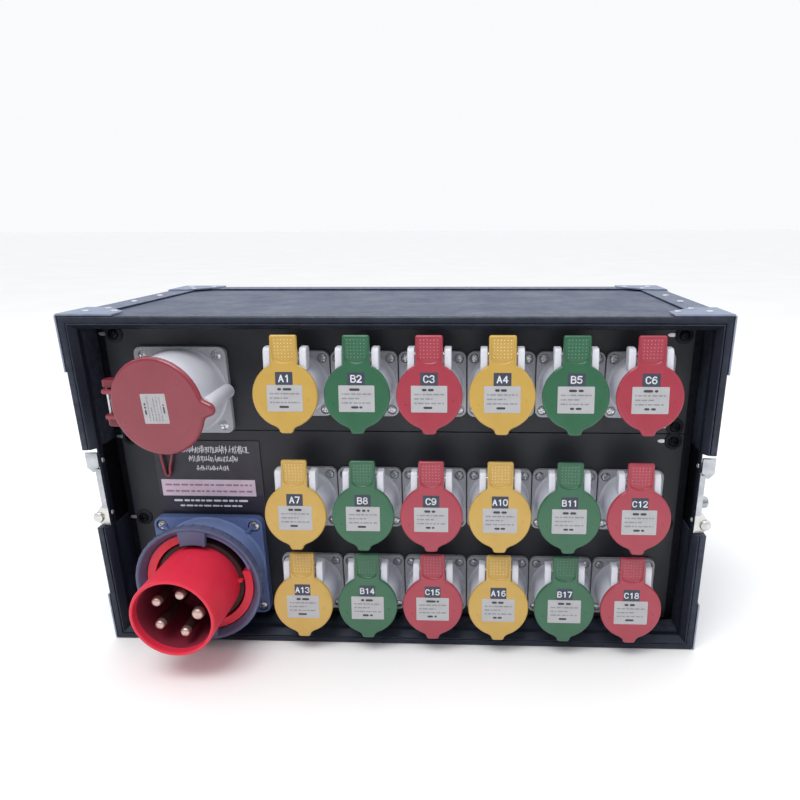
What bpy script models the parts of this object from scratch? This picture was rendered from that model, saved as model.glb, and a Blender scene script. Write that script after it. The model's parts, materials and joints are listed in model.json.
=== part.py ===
"""Portable power distribution box: a 6U rack case with two socket panels.

Units are metres and +Z is up.  The front of the box faces -Y.  The origin is the centre of
the rectangle that the box stands on.
"""

import math

import bmesh
import bpy
from mathutils import Matrix, Vector

# ---------------------------------------------------------------- driving dimensions
MM = 0.001
GAP = 0.3 * MM                       # clearance between pieces that touch

CASE_W = 520 * MM                    # outside, over the edge extrusions
CASE_D = 245 * MM
CASE_H = 292 * MM
SKIN = 1.5 * MM                      # wall of the edge extrusions
EDGE_LEG = 25 * MM                   # leg of the edge extrusions
CAGE_LIFT = 0.3 * MM                 # the case stands on its bottom panel and front frame
PLY = 9 * MM                         # laminated plywood
FRONT_Y = -CASE_D / 2
FRAME_W = 11.5 * MM                  # width of the front frame's bar
FRAME_D = 12 * MM                    # depth of the front frame's bar
FRAME_INSET = 0.5 * MM               # the front frame sits back from the extrusions' skin
GROOVE_W = 3 * MM                    # lid groove, all round the front frame
GROOVE_D = 4 * MM
BRACE_LEG = 45 * MM                  # corner brace plates
BRACE_T = 1.2 * MM
RIVET_R = 3.2 * MM
RIVET_TOP_R = 1.8 * MM
RIVET_H = 1 * MM                     # above the brace plate
BRACE_RIVETS = ((38 * MM, 18 * MM), (23 * MM, 36 * MM), (14 * MM, 18 * MM))   # from the case's corner
SINK = 0.15 * MM                     # how far joined solids reach into each other

RACK_UNIT = 44.45 * MM
RACK_UNITS_LOWER = 4
RACK_UNITS_UPPER = 2
RACK_W = 482.6 * MM
RACK_T = 3 * MM
RACK_RECESS = 31 * MM                # from the front of the case to the face of the panels
RACK_Z = (CASE_H - (RACK_UNITS_LOWER + RACK_UNITS_UPPER) * RACK_UNIT) / 2
RACK_SPLIT_Z = RACK_Z + RACK_UNITS_LOWER * RACK_UNIT
RACK_TOP_Z = RACK_SPLIT_Z + RACK_UNITS_UPPER * RACK_UNIT
PANEL_Y = FRONT_Y + RACK_RECESS      # face of the rack panels
RAIL_LEG = 24 * MM                   # legs of the steel angles behind the panels
RAIL_T = 2 * MM

SMALL_PITCH = 56.2 * MM
SMALL_COLUMNS = 6
SMALL_FIRST_X = -81.5 * MM           # centre of the first column
SMALL_ROWS_Z = (232.5 * MM, 130.8 * MM, 46.8 * MM)
SMALL_FLANGE = 55.4 * MM
SMALL_FLANGE_T = 4 * MM
SOCKET_CORNER = 6 * MM               # round corners of the socket flanges
SMALL_COLLAR_R = 24.5 * MM
SMALL_MOUTH_R = 21.5 * MM
SMALL_RIM_OUT = 39.5 * MM            # rim of the collar in front of the panel, at its middle
SMALL_FLOOR_OUT = 8 * MM             # bottom of the mouth, in front of the panel
SMALL_REAR_R = 21 * MM
SMALL_REAR_DEPTH = 30 * MM           # behind the face of the panel
SMALL_SIDES = 18

LID_TILT = math.radians(8.5)         # the rims and the lids lean back at the hinge
LID_GAP = 0.4 * MM
LID_R = 25.8 * MM
LID_T = 3.2 * MM
LID_NOSE = 29.8 * MM                 # tip of the nose, below the middle
LID_NOSE_HALF = 6.5 * MM
NOSE_SPREAD = 1.5                    # width of a nose at its root, and at its tip, to its middle
NOSE_TIP = 0.6
LID_TAB_HALF = 10.8 * MM
LID_TAB_TOP = 47.6 * MM
HINGE_Z = 31 * MM                    # above the middle of the socket
HINGE_R = 2.6 * MM
EAR_IN = 11.4 * MM
EAR_OUT = 17.4 * MM
EAR_TOP = 36.6 * MM
EAR_FOOT = 0.86                      # of the mouth's radius, where the ears start
EAR_DEPTH = 11 * MM                  # front to back
CHAMFER = 2 * MM                     # corners of the thumb tabs
HINGE_DROP = 0.8 * MM                # the hinge pin lies this much nearer than its radius

BIG_X = -178 * MM
BIG_Z = 226.3 * MM
BIG_FLANGE = (77 * MM, 74 * MM)
BIG_FLANGE_T = 5 * MM
BIG_COLLAR_R = 35.5 * MM
BIG_MOUTH_R = 31.5 * MM
BIG_RIM_OUT = 55 * MM
BIG_FLOOR_OUT = 10 * MM
BIG_REAR_R = 31 * MM
BIG_REAR_DEPTH = 42 * MM
BIG_SIDES = 28
CAP_R = 37.7 * MM
CAP_T = 4 * MM
CAP_NOSE = 48.5 * MM
CAP_NOSE_HALF = 8 * MM
CAP_HINGE = 41.5 * MM                # hinge axis to the left of the middle
CAP_TAB_END = 45.2 * MM
CAP_TAB_HALF = 12 * MM
CAP_HINGE_R = 3 * MM
CAP_EAR_IN = 12.6 * MM
CAP_EAR_OUT = 18.5 * MM

INLET_X = -171.6 * MM
INLET_Z = 63.5 * MM
INLET_FLANGE = (98 * MM, 96 * MM)
INLET_FLANGE_T = 9 * MM
INLET_CORNER = 7 * MM
INLET_NECK_R = 47.5 * MM
INLET_NECK_WALL = 4 * MM
INLET_NECK_OUT = 36 * MM
INLET_REAR_R = 41 * MM
INLET_REAR_DEPTH = 55 * MM
RING_R = 55 * MM
RING_IN = 48.1 * MM
RING_LIP_IN = 45.2 * MM
RING_BACK_OUT = 32.4 * MM
RING_FRONT_OUT = 44.2 * MM
RING_LIP_T = 3.5 * MM
RAMP_HALF = 11 * MM                  # bayonet ramps inside the ring
RAMP_IN = 38.5 * MM
RAMP_INSET = 0.4 * MM                # in from both faces of the ring's lip
RAMP_BITE = 2 * MM                   # how far they reach into the ring
SHROUD_R = 34.2 * MM
SHROUD_IN = 31 * MM
SHROUD_OUT = 96.3 * MM
SHROUD_BASE_OUT = 12 * MM
SHROUD_BASE_R = 43 * MM
SHROUD_BASE_T = 14 * MM
PIN_CIRCLE_R = 17.8 * MM
PIN_R = 4 * MM
EARTH_PIN_R = 5 * MM
PIN_COUNT = 5
PIN_TIP_OUT = 89.5 * MM
PIN_BITE = 1 * MM                    # how far the pins reach into their carrier
CARRIER_OUT = 34 * MM
CARRIER_T = 8 * MM
INLET_SIDES = 32

LATCH_Z = CASE_H / 2
LATCH_H = 71 * MM                    # height of the recess in the side of the case
LATCH_DEPTH = 9 * MM                 # how far the recess goes into the side
LATCH_LENGTH = 52 * MM               # front to back
DISH_T = 1.2 * MM
DISH_FLANGE = 9 * MM
LATCH_Y = FRONT_Y + 27 * MM          # spindle of the butterfly latch
DRUM_R = 11 * MM
DRUM_T = 3.7 * MM
WING_HALF = 21.5 * MM
WING_HALF_W = 7 * MM
WING_T = 2.6 * MM
KNOB_R = 5 * MM
KNOB_MARGIN = 1 * MM                 # from the knob to the end of the wing
KNOB_OUT = 266 * MM

LABEL_X = -167.5 * MM
LABEL_Z = 148 * MM
LABEL_SIZE = (94 * MM, 66 * MM)
LABEL_T = 0.8 * MM

BUSBARS = 5
BUSBAR_PITCH = 19 * MM
BUSBAR_FIRST_Y = 8 * MM
BUSBAR_T = 5 * MM
BUSBAR_H = 20 * MM
BUSBAR_ENDS = (-75 * MM, 175 * MM)
SUPPORTS_X = (-50 * MM, 150 * MM)    # the two insulating blocks under the bars
SUPPORT_W = 20 * MM
SUPPORT_H = 34 * MM
SUPPORT_MARGIN = 14 * MM             # in front of the first bar and behind the last

COLUMN_NAMES = ("a", "b", "c", "a", "b", "c")
COLOURS = {
    "black": (0.02, 0.02, 0.025, 0.5, 0.0),
    "laminate": (0.10, 0.11, 0.15, 0.35, 0.0),
    "extrusion": (0.06, 0.06, 0.08, 0.35, 0.6),
    "steel": (0.62, 0.62, 0.60, 0.3, 1.0),
    "socket_white": (0.72, 0.72, 0.74, 0.45, 0.0),
    "a": (0.83, 0.58, 0.06, 0.4, 0.0),
    "b": (0.02, 0.28, 0.12, 0.4, 0.0),
    "c": (0.66, 0.05, 0.08, 0.4, 0.0),
    "inlet_blue": (0.16, 0.22, 0.38, 0.45, 0.0),
    "inlet_red": (0.60, 0.04, 0.07, 0.4, 0.0),
    "brass": (0.80, 0.66, 0.42, 0.3, 1.0),
}


# ---------------------------------------------------------------- mesh tools
def clear_scene():
    for obj in list(bpy.data.objects):
        bpy.data.objects.remove(obj, do_unlink=True)


def material(name):
    """One Principled material for each colour name."""
    found = bpy.data.materials.get(name)
    if found:
        return found
    red, green, blue, roughness, metallic = COLOURS[name]
    made = bpy.data.materials.new(name)
    made.use_nodes = True
    shader = made.node_tree.nodes["Principled BSDF"]
    shader.inputs["Base Color"].default_value = (red, green, blue, 1.0)
    shader.inputs["Roughness"].default_value = roughness
    shader.inputs["Metallic"].default_value = metallic
    return made


def new_object(name, bm, colour=None, location=(0, 0, 0), smooth=False):
    bmesh.ops.recalc_face_normals(bm, faces=bm.faces)
    mesh = bpy.data.meshes.new(name)
    bm.to_mesh(mesh)
    bm.free()
    if smooth:
        mesh.shade_smooth()
        mesh.set_sharp_from_angle(angle=math.radians(35))
    obj = bpy.data.objects.new(name, mesh)
    obj.location = location
    bpy.context.collection.objects.link(obj)
    if colour:
        mesh.materials.append(material(colour))
    return obj


def cutter(name, bm, location=(0, 0, 0)):
    """A helper solid for a Boolean, left out of the model itself."""
    obj = new_object(name, bm, location=location)
    obj.hide_render = True
    obj.display_type = "WIRE"
    return obj


def boolean(obj, tool, operation="DIFFERENCE", use_self=False):
    modifier = obj.modifiers.new(tool.name, "BOOLEAN")
    modifier.operation = operation
    modifier.solver = "EXACT"
    modifier.use_self = use_self
    modifier.object = tool


def add_box(bm, low, high):
    """A box between two corners."""
    size = [b - a for a, b in zip(low, high)]
    middle = [(a + b) / 2 for a, b in zip(low, high)]
    matrix = Matrix.Translation(middle) @ Matrix.Diagonal((*size, 1.0))
    bmesh.ops.create_cube(bm, size=1.0, matrix=matrix)


def box(low, high):
    bm = bmesh.new()
    add_box(bm, low, high)
    return bm


def add_cylinder(bm, axis, centre, radius, start, end, sides, radius_end=None):
    """A cylinder along X, Y or Z, from start to end on that axis."""
    turn = {"X": Matrix.Rotation(math.pi / 2, 4, "Y"),
            "Y": Matrix.Rotation(-math.pi / 2, 4, "X"),
            "Z": Matrix.Identity(4)}[axis]
    index = "XYZ".index(axis)
    middle = Vector(centre)
    middle[index] = (start + end) / 2
    bmesh.ops.create_cone(bm, cap_ends=True, segments=sides, radius1=radius,
                          radius2=radius if radius_end is None else radius_end,
                          depth=abs(end - start), matrix=Matrix.Translation(middle) @ turn)


def add_prism(bm, outline, near, far):
    """An outline in X and Z, given counter-clockwise from the front, extruded along Y.

    near and far are the Y of the two ends: numbers, or functions of a point's Z.
    """
    def depth(rule, z):
        return rule(z) if callable(rule) else rule

    front = [bm.verts.new((x, depth(near, z), z)) for x, z in outline]
    back = [bm.verts.new((x, depth(far, z), z)) for x, z in outline]
    bm.faces.new(front)
    bm.faces.new(list(reversed(back)))
    count = len(outline)
    for i in range(count):
        j = (i + 1) % count
        bm.faces.new((front[j], front[i], back[i], back[j]))


def circle(radius, sides, centre=(0.0, 0.0)):
    return [(centre[0] + radius * math.cos(2 * math.pi * i / sides),
             centre[1] + radius * math.sin(2 * math.pi * i / sides)) for i in range(sides)]


def rounded_rectangle(width, height, radius, steps=3):
    points = []
    for corner, (sx, sz) in enumerate(((1, 1), (-1, 1), (-1, -1), (1, -1))):
        cx = sx * (width / 2 - radius)
        cz = sz * (height / 2 - radius)
        for step in range(steps + 1):
            angle = math.pi / 2 * (corner + step / steps)
            points.append((cx + radius * math.cos(angle), cz + radius * math.sin(angle)))
    return points


def add_tube(bm, outer, inner, near, far, floor, sides):
    """A round cup along Y whose mouth is at near and whose inside ends at floor.

    near may be a function of Z, for a rim that leans back.
    """
    def depth(z):
        return near(z) if callable(near) else near

    def ring(radius, rule):
        return [bm.verts.new((x, rule(z), z)) for x, z in circle(radius, sides)]

    rings = [ring(outer, lambda z: far), ring(outer, depth), ring(inner, depth),
             ring(inner, lambda z: floor)]
    for low, high in zip(rings, rings[1:]):
        for i in range(sides):
            j = (i + 1) % sides
            bm.faces.new((low[i], low[j], high[j], high[i]))
    bm.faces.new(rings[0])
    bm.faces.new(rings[-1])


def quarter_turned(bm):
    """Turns a mesh by 90 degrees about Y, so that its top comes to the left."""
    bmesh.ops.rotate(bm, verts=bm.verts, cent=(0, 0, 0), matrix=Matrix.Rotation(-math.pi / 2, 3, "Y"))


# ---------------------------------------------------------------- the case
def front_frame():
    """Front frame of the case, with the lid groove and the two latch gaps."""
    half_w = CASE_W / 2 - FRAME_INSET
    top = CASE_H - FRAME_INSET
    back = FRONT_Y + FRAME_D
    frame = new_object("front_frame", box((-half_w, FRONT_Y, 0), (half_w, back, top)), "extrusion")

    inner = box((-CASE_W / 2 + FRAME_W, FRONT_Y - GROOVE_D, FRAME_W),
                (CASE_W / 2 - FRAME_W, back + GROOVE_D, CASE_H - FRAME_W))
    boolean(frame, cutter("front_opening_cutter", inner))

    middle = FRAME_W / 2
    low, high = middle - GROOVE_W / 2, middle + GROOVE_W / 2
    outer = box((-CASE_W / 2 + low, FRONT_Y - GROOVE_D, low),
                (CASE_W / 2 - low, FRONT_Y + GROOVE_D, CASE_H - low))
    groove = cutter("lid_groove_cutter", outer)
    core = box((-CASE_W / 2 + high, FRONT_Y - 2 * GROOVE_D, high),
               (CASE_W / 2 - high, FRONT_Y + 2 * GROOVE_D, CASE_H - high))
    boolean(groove, cutter("lid_groove_core_cutter", core))
    boolean(frame, groove)

    notch_in = CASE_W / 2 - LATCH_DEPTH - SKIN
    notches = bmesh.new()
    for side in (-1, 1):
        inside, outside = sorted((side * notch_in, side * CASE_W))
        add_box(notches, (inside, FRONT_Y - GROOVE_D, LATCH_Z - LATCH_H / 2),
                (outside, back + GROOVE_D, LATCH_Z + LATCH_H / 2))
    boolean(frame, cutter("latch_gap_cutter", notches))


def brace_rivets(bm, y, along):
    """Low rivet heads on the top plates of one pair of corner braces, which run along from y."""
    plate_top = CASE_H + BRACE_T
    for side in (-1, 1):
        for inwards, backwards in BRACE_RIVETS:
            centre = (side * (CASE_W / 2 - inwards), y + along * backwards, 0)
            add_cylinder(bm, "Z", centre, RIVET_R, plate_top - SINK, plate_top + RIVET_H, 8,
                         radius_end=RIVET_TOP_R)


def edge_cage():
    """The aluminium edge extrusions behind the front frame, with their corner braces.

    They are riveted to each other through the braces, so they are one rigid cage.
    """
    half_w = CASE_W / 2
    start = FRONT_Y + FRAME_D + GAP
    end = CASE_D / 2
    shell = box((-half_w, start, CAGE_LIFT), (half_w, end, CASE_H))
    cage = new_object("edge_cage", shell, "extrusion")

    inside = box((-half_w + SKIN, start - SKIN, -SKIN), (half_w - SKIN, end - SKIN, CASE_H - SKIN))
    boolean(cage, cutter("cage_inside_cutter", inside))

    far = CASE_D
    windows = bmesh.new()
    add_box(windows, (-half_w + EDGE_LEG, -far, CASE_H / 2),
            (half_w - EDGE_LEG, end - EDGE_LEG, CASE_H + SKIN))
    add_box(windows, (-half_w - SKIN, -far, EDGE_LEG), (half_w + SKIN, end - EDGE_LEG, CASE_H - EDGE_LEG))
    add_box(windows, (-half_w + EDGE_LEG, 0, EDGE_LEG), (half_w - EDGE_LEG, far, CASE_H - EDGE_LEG))
    boolean(cage, cutter("cage_window_cutter", windows), use_self=True)

    braces = bmesh.new()
    for y, along in ((FRONT_Y, 1), (end, -1)):
        near, reach = sorted((y, y + along * BRACE_LEG))
        over = BRACE_T if along < 0 else 0
        for side in (-1, 1):
            skin_in, skin_out = sorted((side * (half_w - SINK), side * (half_w + BRACE_T)))
            top_in, top_out = sorted((side * (half_w + BRACE_T), side * (half_w - BRACE_LEG)))
            add_box(braces, (top_in, near, CASE_H - SINK), (top_out, reach + over, CASE_H + BRACE_T))
            for foot, head in ((2 * CAGE_LIFT, BRACE_LEG), (CASE_H - BRACE_LEG, CASE_H + BRACE_T / 2)):
                add_box(braces, (skin_in, near, foot), (skin_out, reach + over / 2, head))
        brace_rivets(braces, y, along)
    boolean(cage, cutter("brace_solids", braces), "UNION", use_self=True)


def case_panels():
    """The five laminated plywood panels."""
    outer_x = CASE_W / 2 - SKIN - GAP
    inner_x = outer_x - PLY
    start = FRONT_Y + FRAME_D + GAP
    end = CASE_D / 2 - SKIN - GAP
    back_in = end - PLY
    roof_out = CASE_H - SKIN - GAP
    roof_in = roof_out - PLY
    new_object("top_panel", box((-outer_x, start, roof_in), (outer_x, end, roof_out)), "laminate")
    new_object("bottom_panel", box((-outer_x, start, 0), (outer_x, end, PLY)), "laminate")
    new_object("back_panel", box((-outer_x, back_in, PLY + GAP), (outer_x, end, roof_in - GAP)), "laminate")
    for side, name in ((-1, "left"), (1, "right")):
        low_x, high_x = sorted((side * inner_x, side * outer_x))
        board = box((low_x, start, PLY + GAP), (high_x, back_in - GAP, roof_in - GAP))
        panel = new_object(name + "_panel", board, "laminate")
        low_x, high_x = sorted((side * (inner_x - PLY), side * CASE_W))
        hole = box((low_x, start - SKIN, LATCH_Z - LATCH_H / 2 - GAP),
                   (high_x, FRONT_Y + LATCH_LENGTH + GAP, LATCH_Z + LATCH_H / 2 + GAP))
        boolean(panel, cutter(name + "_latch_hole_cutter", hole))


def latch_dish(side, name):
    """Pressed steel recess for a latch, open to the front like the half it is."""
    floor_x = CASE_W / 2 - LATCH_DEPTH - SKIN + GAP
    skin_x = CASE_W / 2 - SKIN
    start = FRONT_Y + FRAME_D + GAP
    end = FRONT_Y + LATCH_LENGTH
    low_z = LATCH_Z - LATCH_H / 2
    high_z = LATCH_Z + LATCH_H / 2
    inside, outside = sorted((side * floor_x, side * skin_x))
    dish = new_object("latch_dish_" + name, box((inside, start, low_z), (outside, end, high_z)), "steel")
    hollow_in, hollow_out = sorted((side * (floor_x + DISH_T), side * CASE_W))
    hollow = box((hollow_in, start - DISH_FLANGE, low_z + DISH_T),
                 (hollow_out, end - DISH_T, high_z - DISH_T))

    low_x, high_x = sorted((side * (skin_x - SINK), side * (skin_x + DISH_T)))
    rim = box((low_x, start, low_z - DISH_FLANGE), (high_x, end + DISH_FLANGE, high_z + DISH_FLANGE))
    boolean(dish, cutter("latch_rim_" + name, rim), "UNION")
    boolean(dish, cutter("latch_hollow_cutter_" + name, hollow))


def butterfly(side, name):
    """Butterfly latch: a drum with two wings and a finger knob, turning on its spindle."""
    floor_x = CASE_W / 2 - LATCH_DEPTH - SKIN + GAP + DISH_T
    drum_start = floor_x + GAP
    drum_end = drum_start + DRUM_T
    wing = sorted((side * (drum_end - SINK), side * (drum_end - SINK + WING_T)))
    bm = bmesh.new()
    add_cylinder(bm, "X", (0, 0, 0), DRUM_R, side * drum_start, side * drum_end, 20)
    latch = new_object("butterfly_" + name, bm, "steel", (0, LATCH_Y, LATCH_Z), smooth=True)
    wings = cutter("butterfly_wings_" + name,
                   box((wing[0], -WING_HALF_W, -WING_HALF), (wing[1], WING_HALF_W, WING_HALF)),
                   (0, LATCH_Y, LATCH_Z))
    knob = bmesh.new()
    add_cylinder(knob, "X", (0, 0, -WING_HALF + KNOB_R + KNOB_MARGIN), KNOB_R, side * (drum_end + WING_T / 2),
                 side * KNOB_OUT, 12)
    boolean(latch, wings, "UNION")
    boolean(latch, cutter("butterfly_knob_" + name, knob, (0, LATCH_Y, LATCH_Z)), "UNION")


# ---------------------------------------------------------------- the rack
def rack_rails():
    """Steel angles inside the case that the rack panels screw to."""
    face_y = PANEL_Y + RACK_T + GAP
    inner_x = CASE_W / 2 - SKIN - PLY - 2 * GAP
    outline = [(inner_x, face_y), (inner_x, face_y + RAIL_LEG), (inner_x - RAIL_T, face_y + RAIL_LEG),
               (inner_x - RAIL_T, face_y + RAIL_T), (inner_x - RAIL_LEG, face_y + RAIL_T),
               (inner_x - RAIL_LEG, face_y)]
    for side, name in ((-1, "left"), (1, "right")):
        bm = bmesh.new()
        loops = []
        for z in (PLY + GAP, CASE_H - SKIN - PLY - 2 * GAP):
            loops.append([bm.verts.new((side * x, y, z)) for x, y in outline])
        bm.faces.new(loops[0])
        bm.faces.new(list(reversed(loops[1])))
        for i in range(len(outline)):
            j = (i + 1) % len(outline)
            bm.faces.new((loops[0][j], loops[0][i], loops[1][i], loops[1][j]))
        new_object("rack_rail_" + name, bm, "steel")


def small_centres():
    """Row, column, X and Z of every small socket."""
    for row, z in enumerate(SMALL_ROWS_Z):
        for column in range(SMALL_COLUMNS):
            yield row, column, SMALL_FIRST_X + column * SMALL_PITCH, z


def rack_panel(name, bottom, top, holes):
    half = RACK_W / 2
    panel = new_object(name, box((-half, PANEL_Y, bottom), (half, PANEL_Y + RACK_T, top)), "black")
    bm = bmesh.new()
    for x, z, radius, sides in holes:
        add_cylinder(bm, "Y", (x, 0, z), radius + GAP, PANEL_Y - RACK_T, PANEL_Y + 2 * RACK_T, sides)
    boolean(panel, cutter(name + "_hole_cutter", bm))


def rack_panels():
    upper = [(BIG_X, BIG_Z, BIG_REAR_R, BIG_SIDES)]
    lower = [(INLET_X, INLET_Z, INLET_REAR_R, INLET_SIDES)]
    for row, _column, x, z in small_centres():
        holes = upper if row == 0 else lower
        holes.append((x, z, SMALL_REAR_R, SMALL_SIDES))
    rack_panel("upper_rack_panel", RACK_SPLIT_Z + GAP, RACK_TOP_Z, upper)
    rack_panel("lower_rack_panel", RACK_Z, RACK_SPLIT_Z - GAP, lower)


def label_plate():
    """Blank identification plate on the lower panel."""
    front = PANEL_Y - GAP - LABEL_T
    half_w, half_h = LABEL_SIZE[0] / 2, LABEL_SIZE[1] / 2
    new_object("label_plate", box((LABEL_X - half_w, front, LABEL_Z - half_h),
                                  (LABEL_X + half_w, PANEL_Y - GAP, LABEL_Z + half_h)), "black")


def distribution_busbars():
    """Five copper bars on two insulating supports, on the floor of the case."""
    floor = PLY + GAP
    last_y = BUSBAR_FIRST_Y + (BUSBARS - 1) * BUSBAR_PITCH

    def support(bm, x):
        add_box(bm, (x - SUPPORT_W / 2, BUSBAR_FIRST_Y - SUPPORT_MARGIN, floor),
                (x + SUPPORT_W / 2, last_y + SUPPORT_MARGIN, floor + SUPPORT_H))

    block = bmesh.new()
    support(block, SUPPORTS_X[0])
    busbars = new_object("distribution_busbars", block, "brass")
    others = bmesh.new()
    support(others, SUPPORTS_X[1])
    for bar in range(BUSBARS):
        y = BUSBAR_FIRST_Y + bar * BUSBAR_PITCH
        add_box(others, (BUSBAR_ENDS[0], y - BUSBAR_T / 2, floor + SUPPORT_H - BUSBAR_H / 2),
                (BUSBAR_ENDS[1], y + BUSBAR_T / 2, floor + SUPPORT_H + BUSBAR_H / 2))
    boolean(busbars, cutter("busbar_solids", others), "UNION", use_self=True)


# ---------------------------------------------------------------- sockets
def socket_body(name, centre, flange, flange_t, collar_r, mouth_r, rim_out, floor_out, rear_r, rear_depth,
                ears, sides, turned=False):
    """Panel socket: flange, round collar with an open mouth, rear housing and two hinge ears.

    It is made with its hinge at the top; turned brings the hinge to the left.
    """
    ear_in, ear_out, ear_top = ears
    width, height = flange
    if turned:
        width, height = height, width
    place = (centre[0], PANEL_Y, centre[1])

    def rim(z):
        return -(rim_out - z * math.tan(LID_TILT))

    def finish(bm):
        if turned:
            quarter_turned(bm)
        return bm

    bm = bmesh.new()
    add_tube(bm, collar_r, mouth_r, rim, -GAP, -floor_out, sides)
    body = new_object(name, finish(bm), "socket_white", place, smooth=True)

    plate = bmesh.new()
    add_prism(plate, rounded_rectangle(width, height, SOCKET_CORNER), -flange_t, -GAP / 2)
    bmesh.ops.translate(plate, verts=plate.verts, vec=(0, -GAP / 2, 0))
    boolean(body, cutter(name + "_flange", finish(plate), place), "UNION")

    rear = bmesh.new()
    add_cylinder(rear, "Y", (0, 0, 0), rear_r, -flange_t / 2, rear_depth, sides)
    boolean(body, cutter(name + "_rear", finish(rear), place), "UNION")

    ear_foot = mouth_r * EAR_FOOT
    ear_bm = bmesh.new()
    for side in (-1, 1):
        low_x, high_x = sorted((side * ear_in, side * ear_out))
        outline = [(low_x, ear_foot), (high_x, ear_foot), (high_x, ear_top), (low_x, ear_top)]
        add_prism(ear_bm, outline, rim, lambda z: rim(z) + EAR_DEPTH)
    boolean(body, cutter(name + "_ears", finish(ear_bm), place), "UNION")


def lid_outline(radius, nose, nose_half, tab_top, tab_half, sides):
    """Round lid with a nose below and a thumb tab above, counter-clockwise from the front."""
    def arc(start, end, count):
        return [(radius * math.cos(start + (end - start) * i / count),
                 radius * math.sin(start + (end - start) * i / count)) for i in range(count + 1)]

    tab_angle = math.acos(tab_half / radius)
    nose_angle = math.acos(NOSE_SPREAD * nose_half / radius)
    half = sides // 2
    points = [(tab_half, tab_top - CHAMFER), (tab_half - CHAMFER, tab_top), (-tab_half + CHAMFER, tab_top),
              (-tab_half, tab_top - CHAMFER)]
    points += arc(math.pi - tab_angle, math.pi + nose_angle, half)
    points += [(-nose_half * NOSE_TIP, -nose), (nose_half * NOSE_TIP, -nose)]
    points += arc(2 * math.pi - nose_angle, 2 * math.pi + tab_angle, half)
    return points


def hinged_lid(name, colour, centre, outline, thick, rim_out, hinge, hinge_r, barrel_half, sides,
               turned=False):
    """Lid with its origin on the hinge pin, which lies behind the lid's plate."""
    slope = math.tan(LID_TILT)
    hinge_out = rim_out - hinge * slope - hinge_r + HINGE_DROP
    spin = Matrix.Rotation(-math.pi / 2, 3, "Y") if turned else Matrix.Identity(3)
    place = Vector((centre[0], PANEL_Y, centre[1])) + spin @ Vector((0, -hinge_out, hinge))

    def inner(z):
        return hinge_out - (rim_out + LID_GAP - (z + hinge) * slope)

    def outer(z):
        return inner(z) - thick

    bm = bmesh.new()
    add_prism(bm, [(x, z - hinge) for x, z in outline], outer, inner)
    if turned:
        quarter_turned(bm)
    lid = new_object(name, bm, colour, place)

    barrel = bmesh.new()
    add_cylinder(barrel, "X", (0, 0, 0), hinge_r, -barrel_half, barrel_half, sides)
    if turned:
        quarter_turned(barrel)
    boolean(lid, cutter(name + "_barrel", barrel, place), "UNION")


def small_sockets():
    outline = lid_outline(LID_R, LID_NOSE, LID_NOSE_HALF, LID_TAB_TOP, LID_TAB_HALF, 18)
    for row, column, x, z in small_centres():
        number = row * SMALL_COLUMNS + column + 1
        letter = COLUMN_NAMES[column]
        socket_body("socket_{}{:02d}".format(letter, number), (x, z), (SMALL_FLANGE, SMALL_FLANGE),
                    SMALL_FLANGE_T, SMALL_COLLAR_R, SMALL_MOUTH_R, SMALL_RIM_OUT, SMALL_FLOOR_OUT,
                    SMALL_REAR_R, SMALL_REAR_DEPTH, (EAR_IN, EAR_OUT, EAR_TOP), SMALL_SIDES)
        hinged_lid("lid_{}{:02d}".format(letter, number), letter, (x, z), outline, LID_T, SMALL_RIM_OUT,
                   HINGE_Z, HINGE_R, LID_TAB_HALF, 10)


def big_socket():
    socket_body("main_socket", (BIG_X, BIG_Z), BIG_FLANGE, BIG_FLANGE_T, BIG_COLLAR_R, BIG_MOUTH_R,
                BIG_RIM_OUT, BIG_FLOOR_OUT, BIG_REAR_R, BIG_REAR_DEPTH,
                (CAP_EAR_IN, CAP_EAR_OUT, CAP_TAB_END), BIG_SIDES, turned=True)
    outline = lid_outline(CAP_R, CAP_NOSE, CAP_NOSE_HALF, CAP_TAB_END, CAP_TAB_HALF, 24)
    hinged_lid("main_cap", "c", (BIG_X, BIG_Z), outline, CAP_T, BIG_RIM_OUT, CAP_HINGE, CAP_HINGE_R,
               CAP_TAB_HALF, 12, turned=True)


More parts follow.
